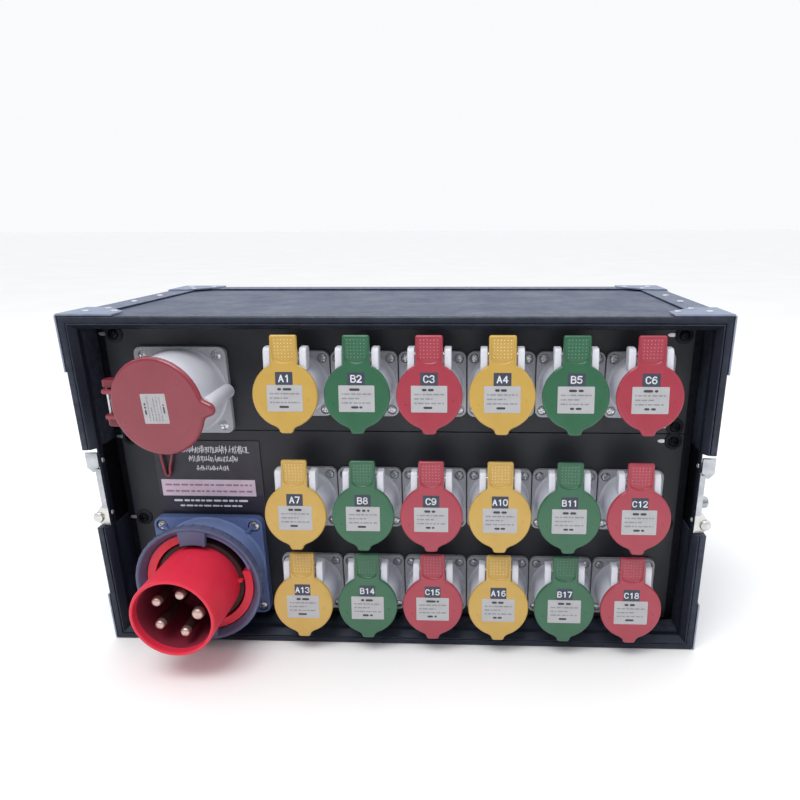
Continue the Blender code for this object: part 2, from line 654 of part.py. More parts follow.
# ---------------------------------------------------------------- supply inlet
def inlet():
    place = (INLET_X, PANEL_Y, INLET_Z)

    flange = bmesh.new()
    add_prism(flange, rounded_rectangle(*INLET_FLANGE, INLET_CORNER), -INLET_FLANGE_T, -GAP)
    housing = new_object("inlet_housing", flange, "inlet_blue", place, smooth=True)
    neck = bmesh.new()
    add_cylinder(neck, "Y", (0, 0, 0), INLET_NECK_R, -INLET_NECK_OUT, -INLET_FLANGE_T / 2, INLET_SIDES)
    boolean(housing, cutter("inlet_neck", neck, place), "UNION")
    rear = bmesh.new()
    add_cylinder(rear, "Y", (0, 0, 0), INLET_REAR_R, -INLET_FLANGE_T / 2, INLET_REAR_DEPTH, INLET_SIDES)
    boolean(housing, cutter("inlet_rear", rear, place), "UNION")
    bore = bmesh.new()
    add_cylinder(bore, "Y", (0, 0, 0), INLET_NECK_R - INLET_NECK_WALL, -2 * INLET_NECK_OUT,
                 -SHROUD_BASE_OUT + GAP, INLET_SIDES)
    boolean(housing, cutter("inlet_bore_cutter", bore, place))

    ring = bmesh.new()
    add_cylinder(ring, "Y", (0, 0, 0), RING_R, -RING_FRONT_OUT, -RING_BACK_OUT, INLET_SIDES)
    ring_object = new_object("inlet_ring", ring, "inlet_blue", place, smooth=True)
    hollow = bmesh.new()
    add_cylinder(hollow, "Y", (0, 0, 0), RING_IN, -RING_FRONT_OUT + RING_LIP_T, 0, INLET_SIDES)
    boolean(ring_object, cutter("ring_hollow_cutter", hollow, place))
    lip = bmesh.new()
    add_cylinder(lip, "Y", (0, 0, 0), RING_LIP_IN, -2 * RING_FRONT_OUT, 0, INLET_SIDES)
    boolean(ring_object, cutter("ring_lip_cutter", lip, place))
    ramps = bmesh.new()
    for side in (-1, 1):
        low_z, high_z = sorted((side * RAMP_IN, side * (RING_IN + RAMP_BITE)))
        add_box(ramps, (-RAMP_HALF, -RING_FRONT_OUT + RAMP_INSET, low_z),
                (RAMP_HALF, -RING_FRONT_OUT + RING_LIP_T - RAMP_INSET, high_z))
    boolean(ring_object, cutter("ring_ramps", ramps, place), "UNION")

    shroud = bmesh.new()
    add_cylinder(shroud, "Y", (0, 0, 0), SHROUD_R, -SHROUD_OUT, -SHROUD_BASE_OUT, INLET_SIDES)
    shroud_object = new_object("inlet_shroud", shroud, "inlet_red", place, smooth=True)
    base = bmesh.new()
    add_cylinder(base, "Y", (0, 0, 0), SHROUD_BASE_R, -SHROUD_BASE_OUT - SHROUD_BASE_T, -SHROUD_BASE_OUT,
                 INLET_SIDES)
    boolean(shroud_object, cutter("shroud_base", base, place), "UNION")
    inside = bmesh.new()
    carrier_back = CARRIER_OUT - CARRIER_T
    add_cylinder(inside, "Y", (0, 0, 0), SHROUD_IN, -2 * SHROUD_OUT, GAP - carrier_back, INLET_SIDES)
    boolean(shroud_object, cutter("shroud_hollow_cutter", inside, place))

    carrier = bmesh.new()
    add_cylinder(carrier, "Y", (0, 0, 0), SHROUD_IN - GAP, -CARRIER_OUT, -carrier_back, INLET_SIDES)
    carrier_object = new_object("inlet_pins", carrier, "brass", place, smooth=True)
    pins = bmesh.new()
    for pin in range(PIN_COUNT):
        angle = 2 * math.pi * pin / PIN_COUNT
        radius = EARTH_PIN_R if pin == 0 else PIN_R
        centre = (PIN_CIRCLE_R * math.cos(angle), 0, PIN_CIRCLE_R * math.sin(angle))
        add_cylinder(pins, "Y", centre, radius, -PIN_TIP_OUT, -CARRIER_OUT + PIN_BITE, 10)
    boolean(carrier_object, cutter("pin_solids", pins, place), "UNION")


def main():
    clear_scene()
    front_frame()
    edge_cage()
    case_panels()
    for side, name in ((-1, "left"), (1, "right")):
        latch_dish(side, name)
        butterfly(side, name)
    rack_rails()
    rack_panels()
    label_plate()
    distribution_busbars()
    small_sockets()
    big_socket()
    inlet()


main()
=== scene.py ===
"""Looks of the portable power distribution box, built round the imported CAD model.

Units are metres, +Z is up and the front of the box faces -Y.  Panel-mounted pieces are made
facing +Z, with +Y up, and are turned to face the front when they are placed.
"""

import json
import math
import random

import bmesh
import bpy
from mathutils import Matrix, Vector


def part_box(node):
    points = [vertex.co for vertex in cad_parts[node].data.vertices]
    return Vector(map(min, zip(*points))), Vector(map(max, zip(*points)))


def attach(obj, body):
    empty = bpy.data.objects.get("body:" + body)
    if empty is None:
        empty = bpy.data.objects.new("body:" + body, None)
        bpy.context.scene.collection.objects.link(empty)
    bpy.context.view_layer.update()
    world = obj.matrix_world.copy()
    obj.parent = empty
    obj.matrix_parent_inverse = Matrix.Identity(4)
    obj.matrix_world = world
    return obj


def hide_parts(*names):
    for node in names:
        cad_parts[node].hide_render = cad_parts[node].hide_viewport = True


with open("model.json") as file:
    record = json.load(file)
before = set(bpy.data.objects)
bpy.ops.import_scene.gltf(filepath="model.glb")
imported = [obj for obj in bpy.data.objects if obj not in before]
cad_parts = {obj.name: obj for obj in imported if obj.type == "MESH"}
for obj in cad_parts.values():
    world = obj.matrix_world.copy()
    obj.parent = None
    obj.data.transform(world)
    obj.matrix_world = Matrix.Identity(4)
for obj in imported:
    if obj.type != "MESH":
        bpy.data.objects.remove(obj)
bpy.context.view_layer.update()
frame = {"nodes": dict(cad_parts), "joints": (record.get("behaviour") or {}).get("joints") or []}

# -------- sizes
MM = 0.001
FACING = Matrix.Rotation(math.pi / 2, 4, "X")     # turns a piece made facing +Z to the front
LEAN = math.radians(8.5)                          # the socket rims and lids lean back at the top
HERE = Matrix.Identity(4)
SINK = 0.15 * MM                                  # how far stacked pieces reach into each other
INK_T = 0.06 * MM

CASE_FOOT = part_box("edge_cage")[0].z
FRONT_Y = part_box("front_frame")[0].y
BACK_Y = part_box("back_panel")[1].y + 1.8 * MM
CASE_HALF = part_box("front_frame")[1].x + 0.5 * MM
CASE_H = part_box("front_frame")[1].z + 0.5 * MM
PANEL_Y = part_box("upper_rack_panel")[0].y
FRAME_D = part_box("front_frame")[1].y - FRONT_Y
LATCH_GAP = (146 * MM, 71 * MM)                   # middle and height of the gap for each latch

KNOB_REACH = 266                                   # the latch knobs end here, in mm from the middle

EDGE_LEG = 25 * MM
EDGE_T = 1.5 * MM
BRACE_LEG = 45 * MM
BRACE_T = 1.2 * MM
BACK_PLATE_IN = 0.95 * MM                          # the rear plates lie this deep in the edges

LID_RADIUS = 25.8 * MM
LID_T = 3.2 * MM
LID_NOSE = 29.6 * MM                               # middle of a small lid to the tip of its nose
TAB_TOP = 46.0 * MM
TAB_HALF = 10.6 * MM
LEAN_SCALE = 1 / math.cos(LEAN)
RACK_SCREW_X = 232.55 * MM
MAIN_AT = (-178 * MM, 226.3 * MM)                  # middles of the main socket and the inlet
INLET_AT = (-171.6 * MM, 63.5 * MM)


# -------- colours and node materials
def tint(code):
    """Linear colour of a six-digit code."""
    values = [int(code[i:i + 2], 16) / 255 for i in (0, 2, 4)]
    return tuple(v / 12.92 if v <= 0.04045 else ((v + 0.055) / 1.055) ** 2.4 for v in values) + (1.0,)


class Finish:
    """A Principled material with short calls for the nodes behind it."""

    def __init__(self, name, roughness=0.5, metallic=0.0, **sockets):
        self.material = bpy.data.materials.new(name)
        self.material.use_nodes = True
        self.tree = self.material.node_tree
        self.shader = self.tree.nodes["Principled BSDF"]
        self.place = self.tree.nodes.new("ShaderNodeTexCoord").outputs["Object"]
        self.normal = None
        self.set("Roughness", roughness)
        self.set("Metallic", metallic)
        for socket, value in sockets.items():
            self.set(socket.replace("_", " "), value)

    def put(self, socket, value):
        if isinstance(value, bpy.types.NodeSocket):
            self.tree.links.new(value, socket)
        else:
            socket.default_value = value

    def set(self, socket, value):
        self.put(self.shader.inputs[socket], value)

    def node(self, kind, inputs, **settings):
        made = self.tree.nodes.new("ShaderNode" + kind)
        for key, value in settings.items():
            setattr(made, key, value)
        for key, value in inputs.items():
            self.put(made.inputs[key], value)
        return made

    def stretched(self, scale):
        """Coordinates scaled by (x, y, z), for grain that runs one way."""
        return self.node("Mapping", {"Vector": self.place, "Scale": scale}).outputs["Vector"]

    def noise(self, scale, detail=3.0, stretch=None):
        place = self.stretched(stretch) if stretch else self.place
        return self.node("TexNoise", {"Vector": place, "Scale": scale, "Detail": detail}).outputs["Fac"]

    def cells(self, scale):
        return self.node("TexVoronoi", {"Vector": self.place, "Scale": scale}).outputs["Distance"]

    def spread(self, value, low, high, start=0.3, end=0.7):
        """A noise value, mostly between start and end, mapped to low..high."""
        made = self.node("MapRange", {"Value": value, "From Min": start, "From Max": end, "To Min": low,
                                      "To Max": high})
        return made.outputs["Result"]

    def blend(self, factor, first, second):
        made = self.node("Mix", {0: factor, 6: first, 7: second}, data_type="RGBA")
        return made.outputs[2]

    def height(self, value, depth, strength=1.0):
        """Adds relief: value 0..1 stands for depth metres."""
        inputs = {"Height": value, "Distance": depth, "Strength": strength}
        if self.normal:
            inputs["Normal"] = self.normal
        self.normal = self.node("Bump", inputs).outputs["Normal"]
        self.set("Normal", self.normal)

    def mottled(self, first, second, scale):
        """Colour that wanders between two tints."""
        colour = self.blend(self.spread(self.noise(scale, 4.0), 0, 1), tint(first), tint(second))
        self.set("Base Color", colour)
        return colour

    def worn(self, colour, bare, amount=0.6):
        """Lighter, rubbed edges where the surface is convex, broken up by noise."""
        pointed = self.node("NewGeometry", {}).outputs["Pointiness"]
        edge = self.spread(pointed, 0, amount, 0.53, 0.60)
        patch = self.spread(self.noise(160, 4), 0.2, 1)
        both = self.node("Math", {0: edge, 1: patch}, operation="MULTIPLY").outputs[0]
        mixed = self.blend(both, colour, tint(bare))
        self.set("Base Color", mixed)
        return mixed

    def rough(self, low, high, scale, stretch=None):
        self.set("Roughness", self.spread(self.noise(scale, 4, stretch), low, high))


def moulded(name, first, second, low, high, grain=900, depth=0.02 * MM, gloss=0.0):
    """Injection-moulded plastic: fine spark grain, slow colour drift and handling marks."""
    made = Finish(name, Specular_IOR_Level=0.45, Coat_Weight=gloss, Coat_Roughness=0.12)
    made.mottled(first, second, 35)
    made.rough(low, high, 60)
    made.height(made.noise(grain, 5), depth, 0.35)
    made.height(made.noise(25, 2), 0.15 * MM, 0.2)
    return made.material


def laminate(name, first, second):
    """Textured laminate on plywood: small raised cells and a slightly greasy sheen."""
    made = Finish(name, Specular_IOR_Level=0.3, Specular_Tint=(0.6, 0.75, 1.0, 1.0))
    colour = made.mottled(first, second, 14)
    made.worn(colour, "8c93a6", 0.3)
    made.rough(0.42, 0.58, 30)
    made.height(made.cells(620), 0.12 * MM, 0.45)
    made.height(made.noise(1500, 3), 0.02 * MM, 0.4)
    return made.material


def anodised(name, first, second, bare, metallic, stretch=(400, 400, 400)):
    """Dark anodised extrusion with lines along its length and rubbed corners."""
    made = Finish(name, metallic=metallic, Specular_IOR_Level=0.4, Specular_Tint=(0.75, 0.85, 1.0, 1.0))
    colour = made.mottled(first, second, 6)
    made.worn(colour, bare, 0.4)
    made.rough(0.34, 0.50, 1, stretch)
    made.height(made.noise(1, 3, stretch), 0.03 * MM, 0.3)
    return made.material


def zinc(name="zinc_plate", first="a4a8ae", second="c6c9cd"):
    """Bright zinc plate with faint spangle and fine scratches."""
    made = Finish(name, metallic=0.9)
    made.mottled(first, second, 140)
    made.rough(0.22, 0.42, 90)
    made.height(made.noise(1, 3, (300, 2200, 300)), 0.015 * MM, 0.4)
    return made.material


def powder_coat():
    """Black powder coat with orange peel and a little dust."""
    made = Finish("black_powder_coat", Specular_IOR_Level=0.5)
    colour = made.mottled("15171f", "1b1e29", 9)
    dust = made.spread(made.noise(700, 2), 0, 0.10, 0.62, 0.80)
    colour = made.blend(dust, colour, tint("6a6c74"))
    made.set("Base Color", colour)
    made.worn(colour, "5c5f68", 0.5)
    made.rough(0.40, 0.56, 25)
    made.height(made.noise(420, 2), 0.05 * MM, 0.5)
    return made.material


def paper(name, first, second):
    """Slightly creased printed film."""
    made = Finish(name, Specular_IOR_Level=0.35)
    made.mottled(first, second, 90)
    made.rough(0.35, 0.5, 120)
    made.height(made.noise(70, 3), 0.06 * MM, 0.3)
    return made.material


def metal(name, first, second, low, high):
    """Machined or plated small hardware."""
    made = Finish(name, metallic=0.9)
    made.mottled(first, second, 250)
    made.rough(low, high, 400)
    made.height(made.noise(900, 4), 0.01 * MM, 0.3)
    return made.material


def soft_rubber(name, first, second):
    """Matt rubber with a fine grain."""
    made = Finish(name, Specular_IOR_Level=0.3)
    made.mottled(first, second, 80)
    made.rough(0.6, 0.8, 200)
    made.height(made.noise(1200, 3), 0.02 * MM, 0.5)
    return made.material


# The top laminate is a lighter, bluer copy of the black side laminate: painted reflection of the pale sky
# on the upward face.
TOP_LAMINATE_PAINTED_REFLECTION = laminate("top_laminate", "2b3349", "333c55")
LAMINATE_DARK = laminate("side_laminate", "1f222c", "252935")
FRAME_BLACK = anodised("black_frame_anodised", "181a24", "1d202c", "5c6274", 0.1)
# The edge extrusions are a lighter, bluer copy of the black anodised finish: painted reflection of the pale
# sky.
EDGE_ANODISED_PAINTED_REFLECTION = anodised("grey_edge_anodised", "333a52", "3c4460", "8f97ad", 0.3)
BRACE = anodised("satin_brace", "757c90", "8d95aa", "b8bfd0", 0.6, (90, 90, 90))
ZINC = zinc()
WHITE_ZINC = zinc("pale_zinc_plate", "c8c8c4", "dcdcd8")
POWDER = powder_coat()
SOCKET_GREY = moulded("socket_grey_plastic", "d2d4de", "dcdee6", 0.40, 0.55)
LID_COLOURS = {
    "a": moulded("yellow_plastic", "bf9a48", "c8a453", 0.26, 0.40, gloss=0.4),
    "b": moulded("green_plastic", "2a5e42", "31684a", 0.26, 0.40, gloss=0.4),
    "c": moulded("red_plastic", "9e3344", "a83b4c", 0.26, 0.40, gloss=0.4),
}
# Lighter tints of the lid colours for the grip dots: painted highlights on the dot tips.
DOT_HIGHLIGHT_COLOURS = {
    "a": moulded("yellow_grip_tips", "ecd49a", "f2dda8", 0.3, 0.44),
    "b": moulded("green_grip_tips", "5f9a7c", "6ba688", 0.3, 0.44),
    "c": moulded("red_grip_tips", "d87888", "e08696", 0.3, 0.44),
}
CAP_RED = moulded("cap_red_plastic", "822a38", "8c3140", 0.26, 0.38, gloss=0.4)
HINGE_RED = moulded("hinge_red_plastic", "6c1f2c", "782634", 0.3, 0.44)
# A darker copy of the socket grey for the flanges: painted shade, the flange and collar being one moulding.
SHADED_FLANGE_GREY = moulded("flange_grey_plastic", "a6a8ae", "b2b4ba", 0.40, 0.55)
INLET_BLUE = moulded("inlet_blue_plastic", "5a6c9c", "6577a8", 0.38, 0.52)
# A lighter copy of the inlet blue for the neck: painted highlight on its upward-facing curve.
NECK_BLUE_PAINTED_HIGHLIGHT = moulded("neck_blue_plastic", "7588b8", "8093c2", 0.30, 0.44)
RING_GREY = moulded("ring_grey_plastic", "515876", "5c6382", 0.34, 0.50)
# A darker copy of the shroud red for the inside of the tube and the contact carrier: painted shade down in
# the tube.
SHROUD_PAINTED_SHADE = moulded("shroud_inside_plastic", "7c2436", "86293c", 0.45, 0.6)
BASE_DARK = moulded("inlet_base_plastic", "33191e", "3c1f25", 0.5, 0.65)
SHROUD_RED = moulded("shroud_red_plastic", "d8263f", "e03049", 0.38, 0.52)
SOCKET_DARK = moulded("contact_carrier_plastic", "26272c", "303138", 0.45, 0.6)
PAPER = paper("label_paper", "adadb0", "b7b7ba")
PAPER_GREY = paper("cap_label_paper", "a9a7a9", "b4b2b4")
PAPER_PINK = paper("label_strip_paper", "d6c3d4", "dfcede")
LABEL_DARK = paper("label_dark_film", "36353d", "3d3c45")
LABEL_LOWER = paper("label_navy_film", "282536", "2f2b3f")
LETTER_DARK = paper("number_film", "3c4150", "454a5a")
INK = paper("grey_ink", "86868e", "92929a")
INK_BLACK = paper("black_ink", "3a3a42", "46464e")
INK_WHITE = paper("white_ink", "dfe2e8", "eceef2")
INK_RED = paper("faded_red_ink", "a8708e", "b47e9a")
STEEL = metal("screw_steel", "b0b2b6", "d2d4d8", 0.18, 0.34)
NICKEL = metal("nickel_pin", "cdb4ae", "dcc5bf", 0.38, 0.52)
# Dark brown for the pin shafts: painted shade inside the tube, on the same plated metal as the pin heads.
PIN_SHAFT_PAINTED_SHADE = metal("pin_shaft", "6a4a48", "785654", 0.4, 0.55)
BRASS = metal("contact_brass", "b08d4c", "c7a25c", 0.25, 0.4)
COPPER = metal("busbar_copper", "a86a48", "c07e58", 0.3, 0.5)
BLACK_STEEL = metal("black_screw_steel", "15161b", "202128", 0.36, 0.5)
BLACK_ZINC = metal("black_zinc_plate", "1c1d23", "25262d", 0.38, 0.55)
RUBBER = soft_rubber("gasket_rubber", "1c1c20", "28282d")


# -------- mesh tools
def mm(*points):
    """Points given in millimetres, in metres."""
    return [tuple(value * MM for value in point) for point in points]


def arc(radius, start, end, count, centre=(0.0, 0.0)):
    """Points on an arc, angles in degrees, both ends included."""
    points = []
    for i in range(count + 1):
        angle = math.radians(start + (end - start) * i / count)
        points.append((centre[0] + radius * math.cos(angle), centre[1] + radius * math.sin(angle)))
    return points


def disc(radius, sides):
    return arc(radius, 0, 360, sides)[:-1]


def rounded(width, height, radius, steps=6):
    """Outline of a rectangle with round corners, counter-clockwise."""
    points = []
    for corner, (sx, sy) in enumerate(((1, 1), (-1, 1), (-1, -1), (1, -1))):
        centre = (sx * (width / 2 - radius), sy * (height / 2 - radius))
        points += arc(radius, 90 * corner, 90 * corner + 90, steps, centre)
    return points


def inset(outline, amount):
    """The outline moved inwards by amount, point by point."""
    count = len(outline)
    points = []
    for i, (x, y) in enumerate(outline):
        before, after = outline[i - 1], outline[(i + 1) % count]
        along = Vector((after[0] - before[0], after[1] - before[1]))
        if along.length > 0:
            along.normalize()
        points.append((x - along.y * amount, y + along.x * amount))
    return points


def loft(bm, rings, matrix=HERE, closed=False, slot=0):
    """Skin over rings of 3-D points.  The two ends are capped unless the rings close on themselves."""
    made = [[bm.verts.new(matrix @ Vector(point)) for point in ring] for ring in rings]
    count = len(made[0])
    pairs = list(zip(made, made[1:] + made[:1])) if closed else list(zip(made, made[1:]))
    faces = []
    for low, high in pairs:
        for i in range(count):
            j = (i + 1) % count
            faces.append(bm.faces.new((low[i], low[j], high[j], high[i])))
    if not closed:
        faces.append(bm.faces.new(list(reversed(made[0]))))
        faces.append(bm.faces.new(made[-1]))
    for face in faces:
        face.material_index = slot


def lathe(bm, profile, sides, matrix=HERE, closed=False, slot=0):
    """Turns (radius, height) pairs about +Z.  closed joins the last pair to the first, for a ring."""
    rings = [[(x, y, height) for x, y in disc(max(radius, 0.01 * MM), sides)] for radius, height in profile]
    loft(bm, rings, matrix, closed, slot)


def stepped(outline, shape):
    """Rings of one outline, each moved inwards and set at a height: shape is (amount, height) pairs."""
    rings = []
    for amount, height in shape:
        line = inset(outline, amount) if amount else outline
        rings.append([(x, y, height) for x, y in line])
    return rings


def slab(bm, outline, bottom, top, edge=0.4 * MM, both=False, matrix=HERE, slot=0):
    """An outline made solid from bottom to top, with a rounded edge at the top or at both faces."""
    shape = [(0.0, bottom)]
    if both:
        shape = [(edge, bottom), (edge * 0.3, bottom + edge * 0.3), (0.0, bottom + edge)]
    shape += [(0.0, top - edge), (edge * 0.3, top - edge * 0.3), (edge, top)]
    loft(bm, stepped(outline, shape), matrix, slot=slot)


def block(bm, low, high, edge=0.3 * MM, matrix=HERE, slot=0):
    """A box between two corners with its upright and top edges eased."""
    width, depth = high[0] - low[0], high[1] - low[1]
    radius = min(edge, width / 3, depth / 3)
    shift = Matrix.Translation(((low[0] + high[0]) / 2, (low[1] + high[1]) / 2, 0))
    slab(bm, rounded(width, depth, radius, 2), low[2], high[2], min(edge, (high[2] - low[2]) / 3), True,
         matrix @ shift, slot)


def linked(name, data):
    """A new object, put in the scene."""
    obj = bpy.data.objects.new(name, data)
    bpy.context.scene.collection.objects.link(obj)
    return obj


def add_mesh(bm, mesh, matrix):
    """Copies a finished mesh into bm at a place."""
    before = len(bm.verts)
    bm.from_mesh(mesh)
    bm.verts.ensure_lookup_table()
    bmesh.ops.transform(bm, matrix=matrix, verts=bm.verts[before:])


def settle(bm, name, materials, sharp=38):
    """The mesh of bm, smooth apart from its sharp edges."""
    bmesh.ops.recalc_face_normals(bm, faces=bm.faces)
    mesh = bpy.data.meshes.new(name)
    bm.to_mesh(mesh)
    bm.free()
    for material in materials:
        mesh.materials.append(material)
    mesh.shade_smooth()
    mesh.set_sharp_from_angle(angle=math.radians(sharp))
    return mesh


def carved(mesh, cuts, sharp=38):
    """The mesh after an exact Boolean with the solids in cuts, a bmesh."""
    tool_mesh = bpy.data.meshes.new("tool")
    bmesh.ops.recalc_face_normals(cuts, faces=cuts.faces)
    cuts.to_mesh(tool_mesh)
    cuts.free()
    tool = linked("tool", tool_mesh)
    holder = linked("holder", mesh)
    modifier = holder.modifiers.new("cut", "BOOLEAN")
    modifier.operation = "DIFFERENCE"
    modifier.solver = "EXACT"
    modifier.use_self = True
    modifier.object = tool
    graph = bpy.context.evaluated_depsgraph_get()
    made = bpy.data.meshes.new_from_object(holder.evaluated_get(graph))
    made.name = mesh.name
    for obj in (tool, holder):
        bpy.data.objects.remove(obj)
    made.shade_smooth()
    made.set_sharp_from_angle(angle=math.radians(sharp))
    return made


def piece(name, mesh, body, matrix=HERE, replaces=()):
    """Places a finished mesh as a piece that rides on a body."""
    obj = linked(name, mesh)
    obj.matrix_world = matrix
    flat = obj.modifiers.new("flat_faces", "WEIGHTED_NORMAL")
    flat.keep_sharp = True
    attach(obj, body)
    if replaces:
        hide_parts(*replaces)


def build(name, bm, materials, body, matrix=HERE, replaces=(), sharp=38):
    """Settles a bmesh and places it as a piece of the same name."""
    piece(name, settle(bm, name, materials, sharp), body, matrix, replaces)


def at(x, y, z):
    return Matrix.Translation((x, y, z))


def spin(degrees, axis="Z"):
    return Matrix.Rotation(math.radians(degrees), 4, axis)


def corners(pattern, height=0):
    """Places at the four corners of a (width, height) screw pattern."""
    return [at(sx * pattern[0] / 2, sy * pattern[1] / 2, height) for sx in (-1, 1) for sy in (-1, 1)]


def facing(x, y, z):
    """Place for a piece made facing +Z that is to face the front."""
    return at(x, y, z) @ FACING


# -------- small hardware
def screw_mesh(name, radius, height, material):
    """Pan-head screw with a cross recess, its seat at height 0."""
    bm = bmesh.new()
    lathe(bm, [(radius, 0), (radius, height * 0.35), (radius * 0.93, height * 0.68),
               (radius * 0.7, height * 0.92), (radius * 0.35, height), (0, height)], 28)
    mesh = settle(bm, name, [material])
    cuts = bmesh.new()
    arm, half = radius * 0.62, radius * 0.13
    deep = height * 0.35
    block(cuts, (-arm, -half, deep), (arm, half, height * 2), 0.05 * MM)
    block(cuts, (-half, -arm, deep + 0.01 * MM), (half, arm, height * 2.1), 0.05 * MM)
    return carved(mesh, cuts)


def rivet(bm, matrix, radius=3.2 * MM, height=1.4 * MM, slot=0):
    """Flat-domed rivet head with its mandrel hole."""
    lathe(bm, [(radius, 0), (radius, height * 0.25), (radius * 0.86, height * 0.7), (radius * 0.55, height),
               (radius * 0.3, height), (radius * 0.26, height * 0.6), (0, height * 0.6)], 20, matrix,
          slot=slot)


def stroke(bm, start, end, width, base, slot=0, thickness=INK_T):
    """A flat round-ended stroke on a surface at height base."""
    start, end = Vector(start), Vector(end)
    along = math.degrees(math.atan2(end.y - start.y, end.x - start.x))
    outline = arc(width / 2, along - 90, along + 90, 4, end)
    outline += arc(width / 2, along + 90, along + 270, 4, start)
    loft(bm, [[(x, y, height) for x, y in outline] for height in (base, base + thickness)], slot=slot)


def ink_bars(bm, left, right, centre, thickness, rng, base, slot):
    """A row of short bars that stands for a printed line, without any writing."""
    x = left
    while x < right - thickness:
        end = min(x + rng.uniform(1.2, 4.5) * thickness, right)
        tip = max(end, x + thickness) - thickness / 2
        stroke(bm, (x + thickness / 2, centre), (tip, centre), thickness, base, slot)
        x = end + thickness * rng.uniform(0.3, 0.7)


def ink_hatch(bm, left, right, centre, height, rng, base, slot):
    """A row of thin slanted strokes of uneven height."""
    x = left
    while x < right:
        low = centre - height * rng.uniform(0.2, 0.5)
        high = centre + height * rng.uniform(0.2, 0.5)
        stroke(bm, (x, low), (x + rng.uniform(-1, 1.6) * MM, high), 0.55 * MM, base, slot)
        if rng.random() < 0.5:
            level = centre + height * rng.uniform(-0.35, 0.35)
            stroke(bm, (x - 0.8 * MM, level), (x + rng.uniform(1.2, 2.4) * MM, level), 0.5 * MM, base, slot)
        x += rng.uniform(1.1, 1.9) * MM


# Strokes of each character on a grid 4 wide and 6 high: x,y points, with / between strokes.
GLYPHS = {
    "A": "0,0 2,6 4,0 / 0.8,2 3.2,2",
    "B": "0,0 0,6 2.7,6 3.7,5.3 3.7,3.9 2.7,3.2 0,3.2 / 2.7,3.2 4,2.4 4,0.8 2.9,0 0,0",
    "C": "4,4.7 3.2,5.7 2,6 0.8,5.6 0,4.3 0,1.7 0.8,0.4 2,0 3.2,0.3 4,1.3",
    "0": "0,1.5 0,4.5 0.9,6 3.1,6 4,4.5 4,1.5 3.1,0 0.9,0 0,1.5",
    "1": "0.9,4.7 2.4,6 2.4,0",
    "2": "0.1,4.6 0.7,5.7 2,6 3.3,5.7 3.9,4.5 3.4,3.2 0,0 4,0",
    "3": "0.1,5 1,6 3,6 3.8,5 3.5,3.7 2.2,3.2 3.7,2.6 4,1.2 3,0 1,0 0,1",
    "4": "3,0 3,6 0,1.8 4,1.8",
    "5": "3.7,6 0.6,6 0.3,3.2 2,3.8 3.5,3.2 4,1.9 3.2,0.4 1.8,0 0,0.8",
    "6": "3.6,5.3 2.3,6 0.8,5.2 0,3 0.3,0.9 1.4,0 2.8,0 4,1.2 3.8,2.8 2.5,3.6 1.1,3.3 0.1,2.2",
    "7": "0,6 4,6 1.6,0",
    "8": "2,3.2 0.4,4 0.4,5.3 1.4,6 2.6,6 3.6,5.3 3.6,4 2,3.2 0.1,2.3 0.1,0.9 1.1,0 2.9,0 3.9,0.9 "
         "3.9,2.3 2,3.2",
    "9": "0.4,0.7 1.7,0 3.2,0.8 4,3 3.7,5.1 2.6,6 1.2,6 0,4.8 0.2,3.2 1.5,2.4 2.9,2.7 3.9,3.8",
}


def number_mesh(words, height):
    """Raised characters built from round-ended strokes, centred on the origin."""
    unit = height / 6
    width = unit * (5.6 * len(words) - 1.6)
    bm = bmesh.new()
    for place, character in enumerate(words):
        left = -width / 2 + place * 5.6 * unit
        for line in GLYPHS[character].split("/"):
            grid = [[float(value) for value in point.split(",")] for point in line.split()]
            points = [(left + x * unit, y * unit - height / 2) for x, y in grid]
            for start, end in zip(points, points[1:]):
                stroke(bm, start, end, unit * 1.15, 0)
    return settle(bm, "number_" + words, [INK_WHITE])


# -------- case
def front_frame():
    """Lid-groove extrusion swept round the front, cut away at the two latches."""
    profile = mm((0, 1.4), (0.35, 0.5), (1.2, 0), (4.8, 0), (5.3, 0.4), (5.5, 2.6), (6.2, 2.6), (6.3, 0.7),
                 (6.7, 0.25), (7.4, 0.5), (11, 5.6), (11.5, 6.6))
    profile = [(0.0, FRAME_D)] + profile + [(11.5 * MM, FRAME_D)]
    half, top = CASE_HALF - 0.5 * MM, CASE_H - 0.5 * MM
    bm = bmesh.new()
    rings = []
    for side, up in ((-1, 0), (1, 0), (1, 1), (-1, 1)):
        ring = []
        for inwards, backwards in profile:
            inwards = inwards - 0.5 * MM if inwards > 6 * MM else inwards
            z = top - inwards if up else inwards
            ring.append((side * (half - inwards), FRONT_Y + backwards, z))
        rings.append(ring)
    loft(bm, rings, closed=True)
    mesh = settle(bm, "front_frame_extrusion", [FRAME_BLACK], 25)
    cuts = bmesh.new()
    middle, height = LATCH_GAP
    for side in (-1, 1):
        low, high = sorted((side * (CASE_HALF - 10.5 * MM), side * (CASE_HALF + 5 * MM)))
        corner = (high, FRONT_Y + FRAME_D + 5 * MM, middle + height / 2)
        block(cuts, (low, FRONT_Y - 5 * MM, middle - height / 2), corner, 0.05 * MM)
    piece("front_frame_extrusion", carved(mesh, cuts, sharp=25), "case",
          replaces=["front_frame"])


def edge_bar(name, spot, start, end):
    """Angle extrusion with a round outer corner; spot(a, b, s) is the place a and b in from its faces."""
    leg, thick = EDGE_LEG, EDGE_T
    outline = [(thick, thick), (thick, leg - 0.5 * MM), (thick * 0.6, leg), (0.2 * MM, leg),
               (0.0, leg - 0.5 * MM)]
    outline += arc(2.6 * MM, 180, 270, 6, (2.6 * MM, 2.6 * MM))
    outline += [(leg - 0.5 * MM, 0.0), (leg, 0.2 * MM), (leg, thick * 0.6), (leg - 0.5 * MM, thick)]
    bm = bmesh.new()
    loft(bm, [[spot(a, b, s) for a, b in outline] for s in (start, end)])
    build(name, bm, [EDGE_ANODISED_PAINTED_REFLECTION], "case", replaces=["edge_cage"], sharp=25)


